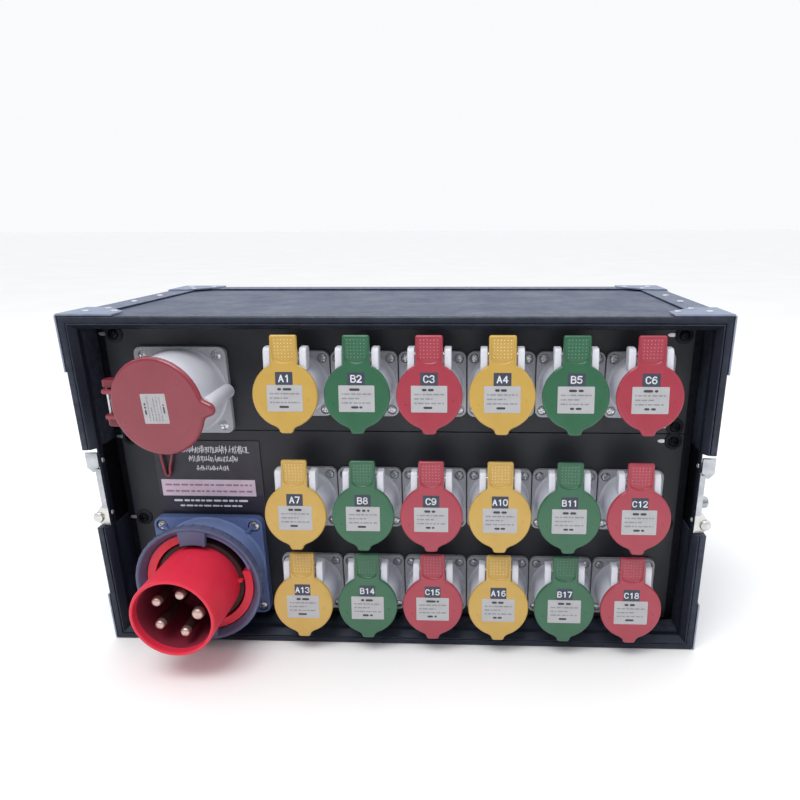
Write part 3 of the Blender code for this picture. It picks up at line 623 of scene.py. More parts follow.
def edge_extrusions():
    """Four long edges from front to back and the four edges of the back."""
    front = FRONT_Y + FRAME_D + 0.3 * MM
    for side, hand in ((-1, "left"), (1, "right")):
        def x(a):
            return side * (CASE_HALF - a)

        edge_bar("edge_top_" + hand, lambda a, b, s: (x(a), s, CASE_H - b), front, BACK_Y)
        edge_bar("edge_bottom_" + hand, lambda a, b, s: (x(a), s, CASE_FOOT + b), front, BACK_Y)
        edge_bar("edge_back_" + hand, lambda a, b, s: (x(a), BACK_Y - b, s), CASE_FOOT, CASE_H)
    edge_bar("edge_back_top", lambda a, b, s: (s, BACK_Y - b, CASE_H - a), -CASE_HALF, CASE_HALF)
    edge_bar("edge_back_bottom", lambda a, b, s: (s, BACK_Y - b, CASE_FOOT + a), -CASE_HALF, CASE_HALF)


def brace_outline():
    """Corner plate seen flat: its outer corner at the origin, one bevelled inner corner."""
    leg = BRACE_LEG
    return [(0, 0), (leg * 0.62, 0), (leg, 0), (leg, leg * 0.42), (leg * 0.80, leg * 0.62),
            (leg * 0.62, leg * 0.80), (leg * 0.42, leg), (0, leg), (0, leg * 0.62)]


def corner_braces():
    """Two or three riveted plates at each corner of the case."""
    rivets = ((38, 18), (23, 36), (14, 18))
    for side, hand in ((-1, "left"), (1, "right")):
        for y, along, end in ((FRONT_Y, 1, "front"), (BACK_Y, -1, "back")):
            for up, level in ((1, "top"), (0, "bottom")):
                bm = bmesh.new()
                corner_z = CASE_H if up else CASE_FOOT + 0.3 * MM
                rise = -1 if up else 1
                x = side * CASE_HALF
                plates = [((0, 0, side, x), (along, 0, 0, y), (0, rise, 0, corner_z))]
                if up:
                    plates.append(((-side, 0, 0, x), (0, along, 0, y), (0, 0, 1, CASE_H)))
                if end == "back":
                    plates.append(((-side, 0, 0, x), (0, 0, 1, y - BACK_PLATE_IN), (0, rise, 0, corner_z)))
                for rows in plates:
                    plate = Matrix(rows + ((0, 0, 0, 1),))
                    slab(bm, brace_outline(), -SINK, BRACE_T, 0.35 * MM, matrix=plate)
                    for a, b in rivets:
                        rivet(bm, plate @ at(a * MM, b * MM, BRACE_T - SINK), height=1.1 * MM, slot=1)
                name = f"corner_brace_{end}_{level}_{hand}"
                build(name, bm, [BRACE, ZINC], "case", replaces=["edge_cage"], sharp=30)


def case_rivets():
    """Rivets through the edge extrusions, and the four that hold the latch recesses from inside."""
    bm = bmesh.new()
    for side in (-1, 1):
        outwards = spin(side * 90, "Y")
        for y in (FRONT_Y + 147 * MM, FRONT_Y + 96 * MM):
            rivet(bm, at(side * 245 * MM, y, CASE_H), height=1.2 * MM)
            for z in (CASE_H - 15 * MM, 15 * MM):
                rivet(bm, at(side * CASE_HALF, y, z) @ outwards, height=1.2 * MM)
    for x in (-150 * MM, 0.0, 150 * MM):
        for z in (15 * MM, CASE_H - 15 * MM):
            rivet(bm, at(x, BACK_Y, z) @ spin(-90, "X"), height=1.1 * MM)
    build("edge_rivets", bm, [ZINC], "case")

    bm = bmesh.new()
    for side in (-1, 1):
        inwards = spin(-side * 90, "Y")
        for z in (LATCH_GAP[0] + 24 * MM, LATCH_GAP[0] - 24 * MM):
            rivet(bm, at(side * (CASE_HALF - 11.5 * MM), FRONT_Y + 9.5 * MM, z) @ inwards, 2.2 * MM, 1 * MM)
    build("latch_rivets", bm, [ZINC], "case")


def eased(node, material, width):
    """A CAD node that keeps its shape: welded, edges rounded, new material."""
    obj = frame["nodes"][node]
    weld = obj.modifiers.new("weld", "WELD")
    weld.merge_threshold = 0.01 * MM
    if width:
        bevel = obj.modifiers.new("bevel", "BEVEL")
        bevel.width = width
        bevel.segments = 2
        bevel.limit_method = "ANGLE"
        bevel.angle_limit = math.radians(40)
    if not obj.material_slots:
        obj.data.materials.append(material)
    for slot in obj.material_slots:
        slot.link = "OBJECT"
        slot.material = material


def kept_nodes():
    """The CAD nodes that are seen as they are, with their materials."""
    # The top panel takes the laminate with the painted sky reflection in its colour.
    eased("top_panel", TOP_LAMINATE_PAINTED_REFLECTION, 0.4 * MM)
    for node in ("bottom_panel", "back_panel", "left_panel", "right_panel"):
        eased(node, LAMINATE_DARK, 0.4 * MM)
    for node in ("upper_rack_panel", "lower_rack_panel"):
        eased(node, POWDER, 0.35 * MM)
    for node in ("rack_rail_left", "rack_rail_right", "latch_dish_left", "latch_dish_right"):
        eased(node, BLACK_ZINC, 0.3 * MM)
    eased("distribution_busbars", COPPER, 0.5 * MM)


# -------- latches
def butterfly(side, hand):
    """Butterfly latch: round drum, two wings with turned-up ends and a finger knob."""
    low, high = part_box("butterfly_" + hand)
    inner = min(abs(low.x), abs(high.x)) / MM
    place = at(0, (low.y + high.y) / 2, (low.z + high.z) / 2) @ spin(side * 90, "Y")
    bm = bmesh.new()
    lathe(bm, mm((11, inner), (11, inner + 2.9), (10.2, inner + 3.7), (6, inner + 3.7), (5.4, inner + 5.4),
                 (0, inner + 5.8)), 40, place)
    wing_low, wing_high = inner + 3.4, inner + 6.1
    half, width = 21.5, 7
    blade = mm((5 - half, -width), (half - 6, -width), (half - 1, -width * 0.55), (half, 0),
               (half - 1, width * 0.55), (half - 6, width), (5 - half, width), (-half, width * 0.5),
               (-half, -width * 0.5))
    slab(bm, blade, wing_low * MM, wing_high * MM, 0.7 * MM, True, place)
    rib = mm((9 - half, -1.4), (half - 9, -1.4), (half - 9, 1.4), (9 - half, 1.4))
    slab(bm, rib, wing_high * MM - SINK, (wing_high + 1.6) * MM, 0.6 * MM, matrix=place)
    knob = mm((5, wing_low + 1), (5, KNOB_REACH - 2.2), (4.5, KNOB_REACH - 0.8), (3.2, KNOB_REACH),
              (0, KNOB_REACH))
    lathe(bm, knob, 28, place @ at(side * (half - 6) * MM, 0, 0))
    build("butterfly_handle_" + hand, bm, [ZINC], "butterfly_" + hand,
          replaces=["butterfly_" + hand])


def latch_catch(side, hand):
    """Fixed catch in the front gap: a strap, a pointed tab above it and a foot with a round stud."""
    place = facing(0, FRONT_Y + 10 * MM, 0)

    def plate(points, bottom, top, slot=0):
        outline = mm(*[(side * x, z) for x, z in points[::side]])
        slab(bm, outline, bottom * MM, top * MM, 0.5 * MM, True, place, slot)

    bm = bmesh.new()
    plate([(249.7, 127), (254.4, 127), (254.4, 163), (249.7, 163)], 0, 5)
    plate([(251, 165), (254.5, 160.5), (257, 159.5), (261.5, 164), (261.5, 177), (251, 177)], 1, 4)
    plate([(249.7, 110.9), (256.5, 110.9), (260, 113), (261, 122), (256, 128.5), (249.7, 128.5)], 0.5, 4.5,
          1)
    stud = place @ at(side * 258.8 * MM, 118.5 * MM, 0)
    lathe(bm, mm((4.6, 1), (4.6, 5.6), (3.9, 6.5), (2, 6.9), (0, 7)), 32, stud, slot=1)
    name = "latch_catch_" + hand
    build(name, bm, [ZINC, WHITE_ZINC], "case")


# -------- rack hardware
def rack_screws():
    """Black dome screws in cup washers, down both sides of the two panels."""
    head = screw_mesh("rack_screw_head", 4.3 * MM, 2.6 * MM, BLACK_STEEL)
    low_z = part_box("lower_rack_panel")[0].z
    heights = [low_z + part * MM for part in (6.35, 95.25, 171.45, 184.15, 260.35)]
    bm = bmesh.new()
    washers = bmesh.new()
    glints = bmesh.new()
    for side in (-1, 1):
        for z in heights:
            place = facing(side * RACK_SCREW_X, PANEL_Y, z)
            lathe(washers, mm((7.4, 0), (7.2, 0.9), (5.6, 2.0), (4.6, 2.1), (4.3, 1.2), (0, 1.2)), 32,
                  place)
            add_mesh(bm, head, place @ at(0, 0, 1.1 * MM))
            outline = [(x * 2.2, y) for x, y in disc(1.6 * MM, 20)]
            slab(glints, outline, 0, 0.35 * MM, 0.15 * MM, matrix=place @ at(-9.6 * MM, 0, 0))
    build("rack_screws", bm, [BLACK_STEEL], "case")
    build("rack_cup_washers", washers, [RUBBER], "case")
    build("rack_slot_nuts", glints, [ZINC], "case")


def identification_plate():
    """Dark printed plate: rows of plain bars in place of its writing, and a pale strip."""
    low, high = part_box("label_plate")
    width, height = high.x - low.x, high.z - low.z
    left, right, foot = -width / 2, width / 2, -height / 2
    rng = random.Random(7)
    bm = bmesh.new()
    top = high.y - low.y
    film, strip = top + 0.05 * MM, top + 0.15 * MM
    slab(bm, rounded(width, height, 1 * MM, 3), 0, top, 0.2 * MM)
    edge = 0.4 * MM
    block(bm, (left + edge, foot + edge, top), (right - edge, foot + 15.5 * MM, film), 0.02 * MM, slot=1)
    block(bm, (left + 3 * MM, foot + 14.5 * MM, top), (right - 7 * MM, foot + 30 * MM, strip), 0.05 * MM,
          slot=2)
    for row in range(3):
        ink_hatch(bm, left + (25 + row * 6) * MM, right - (11 + row * 9) * MM,
                  height / 2 - (8 + row * 8.5) * MM, (7.5 - row * 1.2) * MM, rng, top, 3)
    lines = ((6, 10, 19, 1.8, strip, 4), (6, 10, 25, 1.8, strip, 4), (12, 14, 10, 1.9, film, 3),
             (17, 19, 5, 1.6, film, 3))
    for start, end, up, thickness, base, slot in lines:
        ink_bars(bm, left + start * MM, right - end * MM, foot + up * MM, thickness * MM, rng, base, slot)
    place = facing((low.x + high.x) / 2, high.y, (low.z + high.z) / 2)
    build("identification_plate", bm, [LABEL_DARK, LABEL_LOWER, PAPER_PINK, INK_WHITE, INK_RED], "case",
          place, ["label_plate"])


# -------- sockets
def lid_outline(radius, nose, nose_half, tab_top, tab_half, corner):
    """Round lid with a blunt nose below and a thumb tab above, counter-clockwise from the tab.

    A tab_top of zero leaves the tab out.
    """
    points = []
    start, end = 90, 450
    if tab_top:
        points += arc(corner, 0, 90, 5, (tab_half - corner, tab_top - corner))
        points += arc(corner, 90, 180, 5, (corner - tab_half, tab_top - corner))
        tab_angle = math.degrees(math.acos(tab_half / radius))
        start, end = 180 - tab_angle, 360 + tab_angle
    side = math.degrees(math.acos((nose_half + 2.2 * MM) / radius))
    tip = nose_half * 0.72
    root_x, root_y = nose_half + 0.7 * MM, -math.sqrt(radius ** 2 - nose_half ** 2) - 0.3 * MM
    points += arc(radius, start, 180 + side, 34)
    points += [(-root_x, root_y), (-nose_half * 0.94, root_y - 0.9 * MM)]
    if nose_half > 7 * MM:
        points += arc(tip, 200, 340, 12, (0, tip - nose))[1:-1]
    else:
        tip *= 0.6
        points += arc(tip, 195, 270, 5, (-nose_half * 0.45, tip - nose))
        points += arc(tip, 270, 345, 5, (nose_half * 0.45, tip - nose))
    points += [(nose_half * 0.94, root_y - 0.9 * MM), (root_x, root_y)]
    points += arc(radius, 360 - side, end, 34)
    return points if tab_top else points[:-1]


def dish_depth(down):
    """Depth of the thumb dish at a distance below its top."""
    return 0.35 * MM + 0.085 * down


def lid_mesh(name, material, dot_highlight, outline, nose, thick, tab_half, tab_top, edge, lean_scale):
    """Lid made facing +Z with the tip of its nose at the origin: eased edge, thumb dish and grip dots, the
    dots in a lighter tint as painted highlights.
    """
    outline = [(x, (y + nose) * lean_scale) for x, y in outline]
    tab_top = (tab_top + nose) * lean_scale
    shape = ((0.5 * MM, -thick), (0.0, -thick + 0.5 * MM), (0.0, -edge), (edge * 0.25, -edge * 0.42),
             (edge * 0.6, -edge * 0.12), (edge, 0.0))
    bm = bmesh.new()
    loft(bm, stepped(outline, shape))
    mesh = settle(bm, name, [material])

    dish_half = tab_half - 1.5 * MM
    dish_top = tab_top - 2.0 * MM
    dish_low = dish_top - 20.5 * MM
    dish = rounded(2 * dish_half, dish_top - dish_low, 1.2 * MM, 3)[:8]
    middle = (dish_top + dish_low) / 2
    dish = [(x, y + middle) for x, y in dish]
    bowl_y = dish_low + dish_half * 0.55
    dish += [(x, bowl_y + (y - bowl_y) * 0.55) for x, y in arc(dish_half, 180, 360, 20, (0, bowl_y))]
    cuts = bmesh.new()
    rings = []
    for amount, part in ((1.9, 1), (1.1, 0.92), (0.45, 0.6)):
        rings.append([(x, y, -part * dish_depth(dish_top - y)) for x, y in inset(dish, amount * MM)])
    rings.append([(x, y, 1 * MM) for x, y in inset(dish, 0.0)])
    loft(cuts, rings)
    mesh = carved(mesh, cuts)

    dots = bmesh.new()
    dots.from_mesh(mesh)
    pitch = dish_half * 2 / 7.0
    for row in range(6):
        for column in range(6):
            x = (column - 2.5) * pitch
            y = dish_top - 1.9 * MM - row * pitch
            place = at(x, y, -dish_depth(dish_top - y))
            # Grip dot in the lighter tint, painted highlight.
            lathe(dots, mm((0.5, -0.2), (0.48, 0.15), (0.3, 0.5), (0, 0.55)), 8, place, slot=1)
    return settle(dots, name, [material, dot_highlight])


def lid_place(node, turned=False):
    """Where a lid's nose tip is, with the lean of its face."""
    low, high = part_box(node)
    tilt = Matrix.Rotation(math.pi / 2 - LEAN, 4, "X")
    if turned:
        return at(high.x, low.y, (low.z + high.z) / 2) @ spin(-90, "Y") @ tilt
    return at((low.x + high.x) / 2, low.y, low.z) @ tilt


def hinge_mesh(name, material, pin, barrel, half):
    """Hinge barrel along X with a pin through it."""
    bm = bmesh.new()
    side_on = spin(90, "Y")
    lathe(bm, [(barrel * 0.8, -half), (barrel, -half + 0.5 * MM), (barrel, half - 0.5 * MM),
               (barrel * 0.8, half)], 20, side_on)
    lathe(bm, [(pin * 0.7, -half - 4 * MM), (pin, -half - 3.5 * MM), (pin, half + 3.5 * MM),
               (pin * 0.7, half + 4 * MM)], 12, side_on, slot=1)
    return settle(bm, name, [material, STEEL])


def rating_label(name, width, height, seed, rows=5, film=None):
    """Printed film with a bold bar, thin lines and a short mark, and no writing."""
    rng = random.Random(seed)
    bm = bmesh.new()
    slab(bm, rounded(width, height, 0.6 * MM, 3), -SINK, 0.12 * MM, 0.05 * MM)
    top = 0.12 * MM
    line = height / (rows + 1)
    for row in range(rows):
        y = height / 2 - line * (row + 0.95)
        start, end, thick, slot = -0.42, 0.1 if row == 2 else 0.42, 0.34, 1
        if row == 0:
            start, end, thick, slot = -0.2, 0.2, 0.55, 2
        elif row == rows - 1:
            start, end, thick, slot = -0.16, 0.16, 0.5, 2
        ink_bars(bm, width * start, width * end, y, line * thick, rng, top, slot)
    return settle(bm, name, [film or PAPER, INK, INK_BLACK])


def socket_mesh(name, flange, flange_t, collar, mouth, rim_out, floor_out, rear, rear_depth, ears, screws,
                contacts, ear_slot=0):
    """Socket body facing +Z, its hinge towards +Y and its middle at the origin, all in millimetres.

    ears is (inner, outer, top, depth); screws is the screw pattern (x, y) in metres; contacts is
    (pitch radius, hole radius).
    """
    slope = math.tan(LEAN)

    def leaned(points):
        return mm(*[(x, y, z - y * slope if z > rim_out - 8 else z) for x, y, z in points])

    bm = bmesh.new()
    outline = rounded(flange[0] * MM, flange[1] * MM, 6 * MM)
    slab(bm, outline, 0.3 * MM, flange_t * MM, 0.9 * MM)
    flange_mesh = settle(bm, name, [SOCKET_GREY])
    wells = bmesh.new()
    for place in corners(screws):
        lathe(wells, mm((3.9, flange_t - 1.6), (4, flange_t - 1.2), (4.3, flange_t + 2)), 24, place)
    flange_mesh = carved(flange_mesh, wells)

    bm = bmesh.new()
    bm.from_mesh(flange_mesh)
    # The flange faces take the darker grey copy, painted shade.
    for face in bm.faces:
        face.material_index = 2
    outer = [(collar + 1.6, flange_t - SINK / MM), (collar + 1.2, flange_t + 1),
             (collar + 0.2, flange_t + 2.2), (collar - 0.1, flange_t + 6), (collar - 0.2, rim_out - 9),
             (collar - 0.2, rim_out - 1), (collar - 0.5, rim_out - 0.3), (collar - 1, rim_out),
             (mouth + 0.5, rim_out), (mouth, rim_out - 0.6), (mouth, rim_out - 9),
             (mouth - 0.2, floor_out + 0.3), (mouth - 0.6, floor_out)]
    loft(bm, [leaned([(x, y, z) for x, y in disc(radius, 56)]) for radius, z in outer])
    ear_in, ear_out, ear_top, ear_depth = ears
    foot = mouth * 0.86
    front_foot, front_top = rim_out - foot * slope, rim_out - ear_top * slope
    shape = [(foot, front_foot - ear_depth), (foot, front_foot), (ear_top - 3, front_top + 3 * slope)]
    shape += [(ear_top - 3 + 3 * math.sin(a), front_top - 3 + 3 * math.cos(a)) for a in (0.5, 1.0, 1.45)]
    shape += [(ear_top, front_top - ear_depth + 2), (ear_top - 2, front_top - ear_depth)]
    for side in (-1, 1):
        low, high = sorted((side * ear_in, side * ear_out))
        rings = []
        for x, amount in ((low, 0.5), (low + 0.5, 0), (high - 0.5, 0), (high, 0.5)):
            line = inset(shape, -amount) if amount else shape
            rings.append(mm(*[(x, y, z) for y, z in line]))
        loft(bm, rings, slot=ear_slot)
    lathe(bm, mm((rear - 1, -rear_depth), (rear, -rear_depth + 1), (rear, -rear_depth * 0.45),
                 (rear + 0.4, -rear_depth * 0.43), (rear + 0.4, 0.5)), 40)
    for angle in range(0, 360, 72):
        place = spin(angle + 18) @ at(rear * 0.6 * MM, 0, 0)
        lathe(bm, mm((3.2, -rear_depth - 0.01), (3.2, -rear_depth + 2)), 16, place, slot=1)

    pitch, hole = contacts
    carrier = bmesh.new()
    lathe(carrier, mm((mouth - 1.2, floor_out), (mouth - 1.2, floor_out + 5),
                      (mouth - 1.8, floor_out + 5.6), (0, floor_out + 5.6)), 48)
    carrier_mesh = settle(carrier, name, [SOCKET_DARK])
    holes = bmesh.new()
    tubes = bmesh.new()
    for pin in range(5):
        radius = hole * (1.25 if pin == 0 else 1.0)
        place = spin(72 * pin - 90) @ at(pitch * MM, 0, floor_out * MM)
        lathe(holes, mm((radius, 0.8), (radius, 9)), 20, place)
        lathe(tubes, mm((radius * 0.92, 0.5), (radius * 0.92, 3.4), (radius * 0.7, 3.4),
                        (radius * 0.7, 0.9), (0, 0.9)), 20, place)
    carrier_mesh = carved(carrier_mesh, holes)
    body = settle(bm, name, [SOCKET_GREY, BRASS, SHADED_FLANGE_GREY, HINGE_RED])
    bm = bmesh.new()
    bm.from_mesh(carrier_mesh)
    first = len(bm.faces)
    bm.from_mesh(settle(tubes, name, [BRASS]))
    bm.faces.ensure_lookup_table()
    for face in bm.faces[first:]:
        face.material_index = 1
    return body, settle(bm, name + "_contacts", [SOCKET_DARK, BRASS])


def screw_set(name, head, pattern, out):
    """Four screws of one flange as one mesh."""
    bm = bmesh.new()
    rng = random.Random(3)
    for corner_at in corners(pattern, out):
        add_mesh(bm, head, corner_at @ Matrix.Rotation(rng.uniform(0, math.pi / 2), 4, "Z"))
    return settle(bm, name, [STEEL])


def lid_kits():
    """The lid mesh, the hinge mesh and the slot of each colour, by its letter."""
    outline = lid_outline(LID_RADIUS, LID_NOSE, 6.3 * MM, TAB_TOP, TAB_HALF, 1.8 * MM)
    kits = {}
    for letter, colour in (("a", "yellow"), ("b", "green"), ("c", "red")):
        material = LID_COLOURS[letter]
        lid = lid_mesh("lid_shell_" + letter, material, DOT_HIGHLIGHT_COLOURS[letter], outline, LID_NOSE,
                       LID_T * math.cos(LEAN), TAB_HALF, TAB_TOP, 1.4 * MM, LEAN_SCALE)
        hinge = hinge_mesh("lid_hinge_" + letter, material, 1.2 * MM, 2.6 * MM, TAB_HALF - 0.3 * MM)
        kits[letter] = lid, hinge, "lid_" + colour
    return kits


def lid_pieces(joint, letter, number, kit, plate):
    """One hinged lid with its number plate and rating label."""
    lid = joint["child"]
    shell, hinge, slot = kit
    face = lid_place(lid)
    middle = LID_NOSE * LEAN_SCALE
    number_at = face @ at(0, middle + 13.2 * MM, 0)
    words = number_mesh(f"{letter.upper()}{number}", (5.0 if number < 10 else 4.6) * MM)
    label = rating_label(f"rating_label_{number:02d}", 28 * MM, 20.6 * MM, number)
    piece(f"lid_shell_{number:02d}", shell, lid, face, [lid])
    piece(f"lid_hinge_{number:02d}", hinge, lid, at(*joint["pos_m"]))
    piece(f"lid_number_plate_{number:02d}", plate, lid, number_at)
    piece(f"lid_number_{number:02d}", words, lid, number_at @ at(0, 0, 0.14 * MM))
    piece(f"rating_label_{number:02d}", label, lid, face @ at(0, middle - 2.2 * MM, 0))


def small_sockets():
    """Eighteen sockets; each one's letter and number are in its lid's name."""
    head = screw_mesh("small_screw_head", 3.4 * MM, 1.7 * MM, STEEL)
    pattern = (43.5 * MM, 43.5 * MM)
    screws = screw_set("small_flange_screws", head, pattern, 2.4 * MM)
    body, contacts = socket_mesh("small_socket_body", flange=(55.4, 55.4), flange_t=4, collar=24.5,
                                 mouth=21.5, rim_out=39.5, floor_out=8, rear=21, rear_depth=30,
                                 ears=(11.4, 16.9, 35.6, 11), screws=pattern, contacts=(11.5, 2.4))
    kits = lid_kits()
    plate = bmesh.new()
    slab(plate, rounded(13.6 * MM, 10 * MM, 0.5 * MM, 3), -SINK, 0.12 * MM, 0.05 * MM)
    plate = settle(plate, "number_plate", [LETTER_DARK])
    for joint in frame["joints"]:
        if not joint["child"].startswith("lid_"):
            continue
        code = joint["child"][4:]
        letter, number = code[0], int(code[1:])
        low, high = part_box("socket_" + code)
        place = facing((low.x + high.x) / 2, PANEL_Y, low.z + (high.x - low.x) / 2)
        piece(f"small_socket_{number:02d}", body, "case", place, ["socket_" + code])
        piece(f"small_contacts_{number:02d}", contacts, "case", place)
        piece(f"small_screws_{number:02d}", screws, "case", place)
        lid_pieces(joint, letter, number, kits[letter], plate)


def main_socket():
    """The larger socket, hinged at its left, with its catch at the right."""
    head = screw_mesh("main_screw_head", 4.2 * MM, 2.2 * MM, STEEL)
    pattern = (60 * MM, 61 * MM)
    body, contacts = socket_mesh("main_socket_body", flange=(74, 77), flange_t=5, collar=35.5, mouth=31.5,
                                 rim_out=55, floor_out=10, rear=31, rear_depth=42,
                                 ears=(12.6, 18.5, 45.2, 11), screws=pattern, contacts=(17, 3.6),
                                 ear_slot=3)
    place = at(MAIN_AT[0], PANEL_Y, MAIN_AT[1]) @ spin(-90, "Y") @ FACING
    screws = screw_set("main_socket_screws", head, pattern, 3.4 * MM)
    piece("main_socket_body", body, "case", place, ["main_socket"])
    piece("main_socket_contacts", contacts, "case", place)
    piece("main_socket_screws", screws, "case", place)
    bm = bmesh.new()
    lathe(bm, mm((6.2, 4.8), (5.8, 7), (5.6, 46), (4.6, 49), (0, 50)), 28, at(0, -36.5 * MM, 0))
    build("main_socket_catch", bm, [SOCKET_GREY], "case", place)


def main_cap():
    """Red cap on two hinge arms, with a steel rod and its own label."""
    nose = 47.5 * MM
    outline = lid_outline(38.6 * MM, nose, 7.6 * MM, 0, 0, 0)
    face = lid_place("main_cap", turned=True)
    thick = 4 * MM * math.cos(LEAN)
    bm = bmesh.new()
    line = [(x, (y + nose) * LEAN_SCALE) for x, y in outline]
    shape = [(0.5 * MM, -thick), (0.0, 0.5 * MM - thick)]
    shape += mm((0, -2.4), (0.3, -1.5), (0.9, -0.75), (1.7, -0.2), (2.6, 0))
    loft(bm, stepped(line, shape))
    root, end = (nose + 34 * MM) * LEAN_SCALE, (nose + 45 * MM) * LEAN_SCALE
    for side in (-1, 1):
        low, high = sorted((side * 8.2 * MM, side * 12 * MM))
        block(bm, (low, root, -3.6 * MM), (high, end, -0.8 * MM), 1 * MM)
    build("main_cap_shell", bm, [CAP_RED], "main_cap", face, ["main_cap"])

    hinge = next(joint for joint in frame["joints"] if joint["child"] == "main_cap")
    bm = bmesh.new()
    side_on = spin(90, "Y")
    for side in (-1, 1):
        low, high = sorted((side * 8.4, side * 12))
        lathe(bm, mm((2.4, low), (3, low + 0.5), (3, high - 0.5), (2.4, high)), 20, side_on)
    lathe(bm, mm((0.9, -15.5), (1.2, -15), (1.2, 15), (0.9, 15.5)), 14, side_on, slot=1)
    place = at(*hinge["pos_m"]) @ spin(-90, "Y")
    build("main_cap_hinge", bm, [HINGE_RED, STEEL], "main_cap", place)
    label = rating_label("main_rating_label", 23.5 * MM, 21 * MM, 40, 7, PAPER_GREY)
    label_at = face @ at(-1 * MM, (nose + 0.5 * MM) * LEAN_SCALE, 0) @ Matrix.Rotation(0.05, 4, "Z")
    piece("main_rating_label", label, "main_cap", label_at)


# -------- supply inlet
def inlet():
    """Square flange, neck and screws of the inlet, then its ring, tube and pins."""
    place = facing(INLET_AT[0], PANEL_Y, INLET_AT[1])
    pattern = (83 * MM, 80.6 * MM)

    bm = bmesh.new()
    slab(bm, rounded(98 * MM, 96 * MM, 7 * MM), 0.3 * MM, 9 * MM, 1.2 * MM)
    mesh = settle(bm, "inlet_flange", [INLET_BLUE])
    cuts = bmesh.new()
    for corner_at in corners(pattern):
        lathe(cuts, mm((5.0, 6.2), (5.1, 6.8), (5.6, 11)), 28, corner_at)
    lathe(cuts, mm((43.5, 12), (43.5, 5)), 64)
    mesh = carved(mesh, cuts)
    bm = bmesh.new()
    bm.from_mesh(mesh)
    # Neck in the lighter blue copy, painted highlight.
    lathe(bm, mm((49, 8.8), (48.2, 10.2), (47.5, 12), (47.4, 35), (46.6, 36), (44, 36), (43.5, 35.4),
                 (43.3, 12), (43.4, 8.8)), 72, closed=True, slot=1)
    for angle in (45, 135, 225, 315):
        web = spin(angle)
        slab(bm, mm((47, -1.6), (58, -1.6), (58, 1.6), (47, 1.6)), 8.5 * MM, 10.6 * MM, 0.5 * MM,
             matrix=web)
    lathe(bm, mm((40, -55), (41, -54), (41, -24), (41.2, -23), (41.2, 3)), 64)
    build("inlet_body", bm, [INLET_BLUE, NECK_BLUE_PAINTED_HIGHLIGHT], "case", place, ["inlet_housing"])
    head = screw_mesh("inlet_screw_head", 4.6 * MM, 2.6 * MM, STEEL)
    piece("inlet_screws", screw_set("inlet_screws", head, pattern, 6.6 * MM), "case", place)
    inlet_ring(place)
    inlet_shroud(place)
    inlet_pins(place)


def inlet_ring(place):
    """Bayonet ring: grip ribs outside, a lip in front and two ramps inside."""
    bm = bmesh.new()
    lathe(bm, mm((48.1, 34.4), (53.0, 34.4), (54.0, 35.2), (54.5, 37), (54.6, 42.6), (54.1, 43.8),
                 (53.0, 44.2), (51.8, 43.9), (50.6, 42.8), (47.8, 38.6), (47.3, 37.4), (47.6, 36.8),
                 (48.1, 36.6)), 96, closed=True)
    for angle in range(0, 360, 9):
        rib = spin(angle)
        slab(bm, mm((54, -0.9), (55, -0.6), (55, 0.6), (54, 0.9)), 36.2 * MM, 42.4 * MM, 0.3 * MM,
             matrix=rib)
    for middle in (90, 270):
        half = 13.5
        outline = arc(51.5 * MM, middle - half, middle + half, 10)
        outline += arc(38.5 * MM, middle + half * 1.18, middle - half * 1.18, 10)
        slab(bm, outline, 39.4 * MM, 43.9 * MM, 0.5 * MM, True)
    build("bayonet_ring", bm, [RING_GREY], "inlet_ring", place, ["inlet_ring"])


def inlet_shroud(place):
    """Red tube on its dark base, with the two raised sectors that the ring turns over, and a darker red
    liner inside as painted shade.
    """
    bm = bmesh.new()
    lathe(bm, mm((31, 14), (31, 80), (31, 94.6), (31.6, 96), (32.8, 96.3), (33.8, 95.8), (34.2, 94.4),
                 (34.2, 14)), 72, closed=True)
    # Thin liner in the darker red: painted shade inside the tube.
    lathe(bm, mm((31.2, 26), (30.7, 26.4), (30.5, 89), (31.2, 90)), 72, closed=True, slot=1)
    lathe(bm, mm((33.8, 12), (43, 12), (43, 18), (37.5, 18.4), (34.6, 20), (33.8, 21)), 72, closed=True,
          slot=2)
    lathe(bm, mm((34, 19), (38.2, 19), (38.2, 35.4), (37.6, 36), (34, 36.2)), 72, closed=True, slot=2)
    for start, end in ((101, 196), (-84, 16)):
        outline = arc(43.2 * MM, start, end, 18) + arc(39.4 * MM, end, start, 18)
        slab(bm, outline, 17 * MM, 37.8 * MM, 0.8 * MM)
        outline = arc(46.6 * MM, start, end, 18) + arc(39.4 * MM, end, start, 18)
        slab(bm, outline, 36.3 * MM, 38.4 * MM, 0.6 * MM, True)
    slab(bm, mm((34, -1.8), (37.8, -0.8), (37.8, 0.8), (34, 1.8)), 24 * MM, 40 * MM, 0.5 * MM,
         matrix=spin(4))
    build("shroud_tube", bm, [SHROUD_RED, SHROUD_PAINTED_SHADE, BASE_DARK], "case", place,
          ["inlet_shroud"])


def inlet_pins(place):
    """Contact carrier in the darker red of painted shade, with five round pins whose shafts are darkened as
    painted shade.
    """
    bm = bmesh.new()
    lathe(bm, mm((30.5, 26), (30.5, 33.2), (29.8, 34), (8, 34), (7.4, 35.4), (0, 35.6)), 56)
    for pin in range(5):
        angle = math.radians(72 * pin)
        radius = 5 if pin == 0 else 4
        spot = at(17.8 * MM * math.cos(angle), 17.8 * MM * math.sin(angle), 0)
        lathe(bm, mm((radius + 1.6, 33.5), (radius + 1.4, 36), (radius, 36.2), (radius, 36.3)), 28, spot)
        # Shaft in the dark brown of painted shade.
        lathe(bm, mm((radius, 34), (radius, 84), (radius * 0.9, 84), (0, 84)), 28, spot, slot=2)
        lathe(bm, mm((radius, 84), (radius, 86.4), (radius * 0.95, 87.8), (radius * 0.82, 88.8),
                     (radius * 0.55, 89.4), (0, 89.5)), 28, spot, slot=1)
    build("inlet_contacts", bm, [SHROUD_PAINTED_SHADE, NICKEL, PIN_SHAFT_PAINTED_SHADE], "case", place,
          ["inlet_pins"])


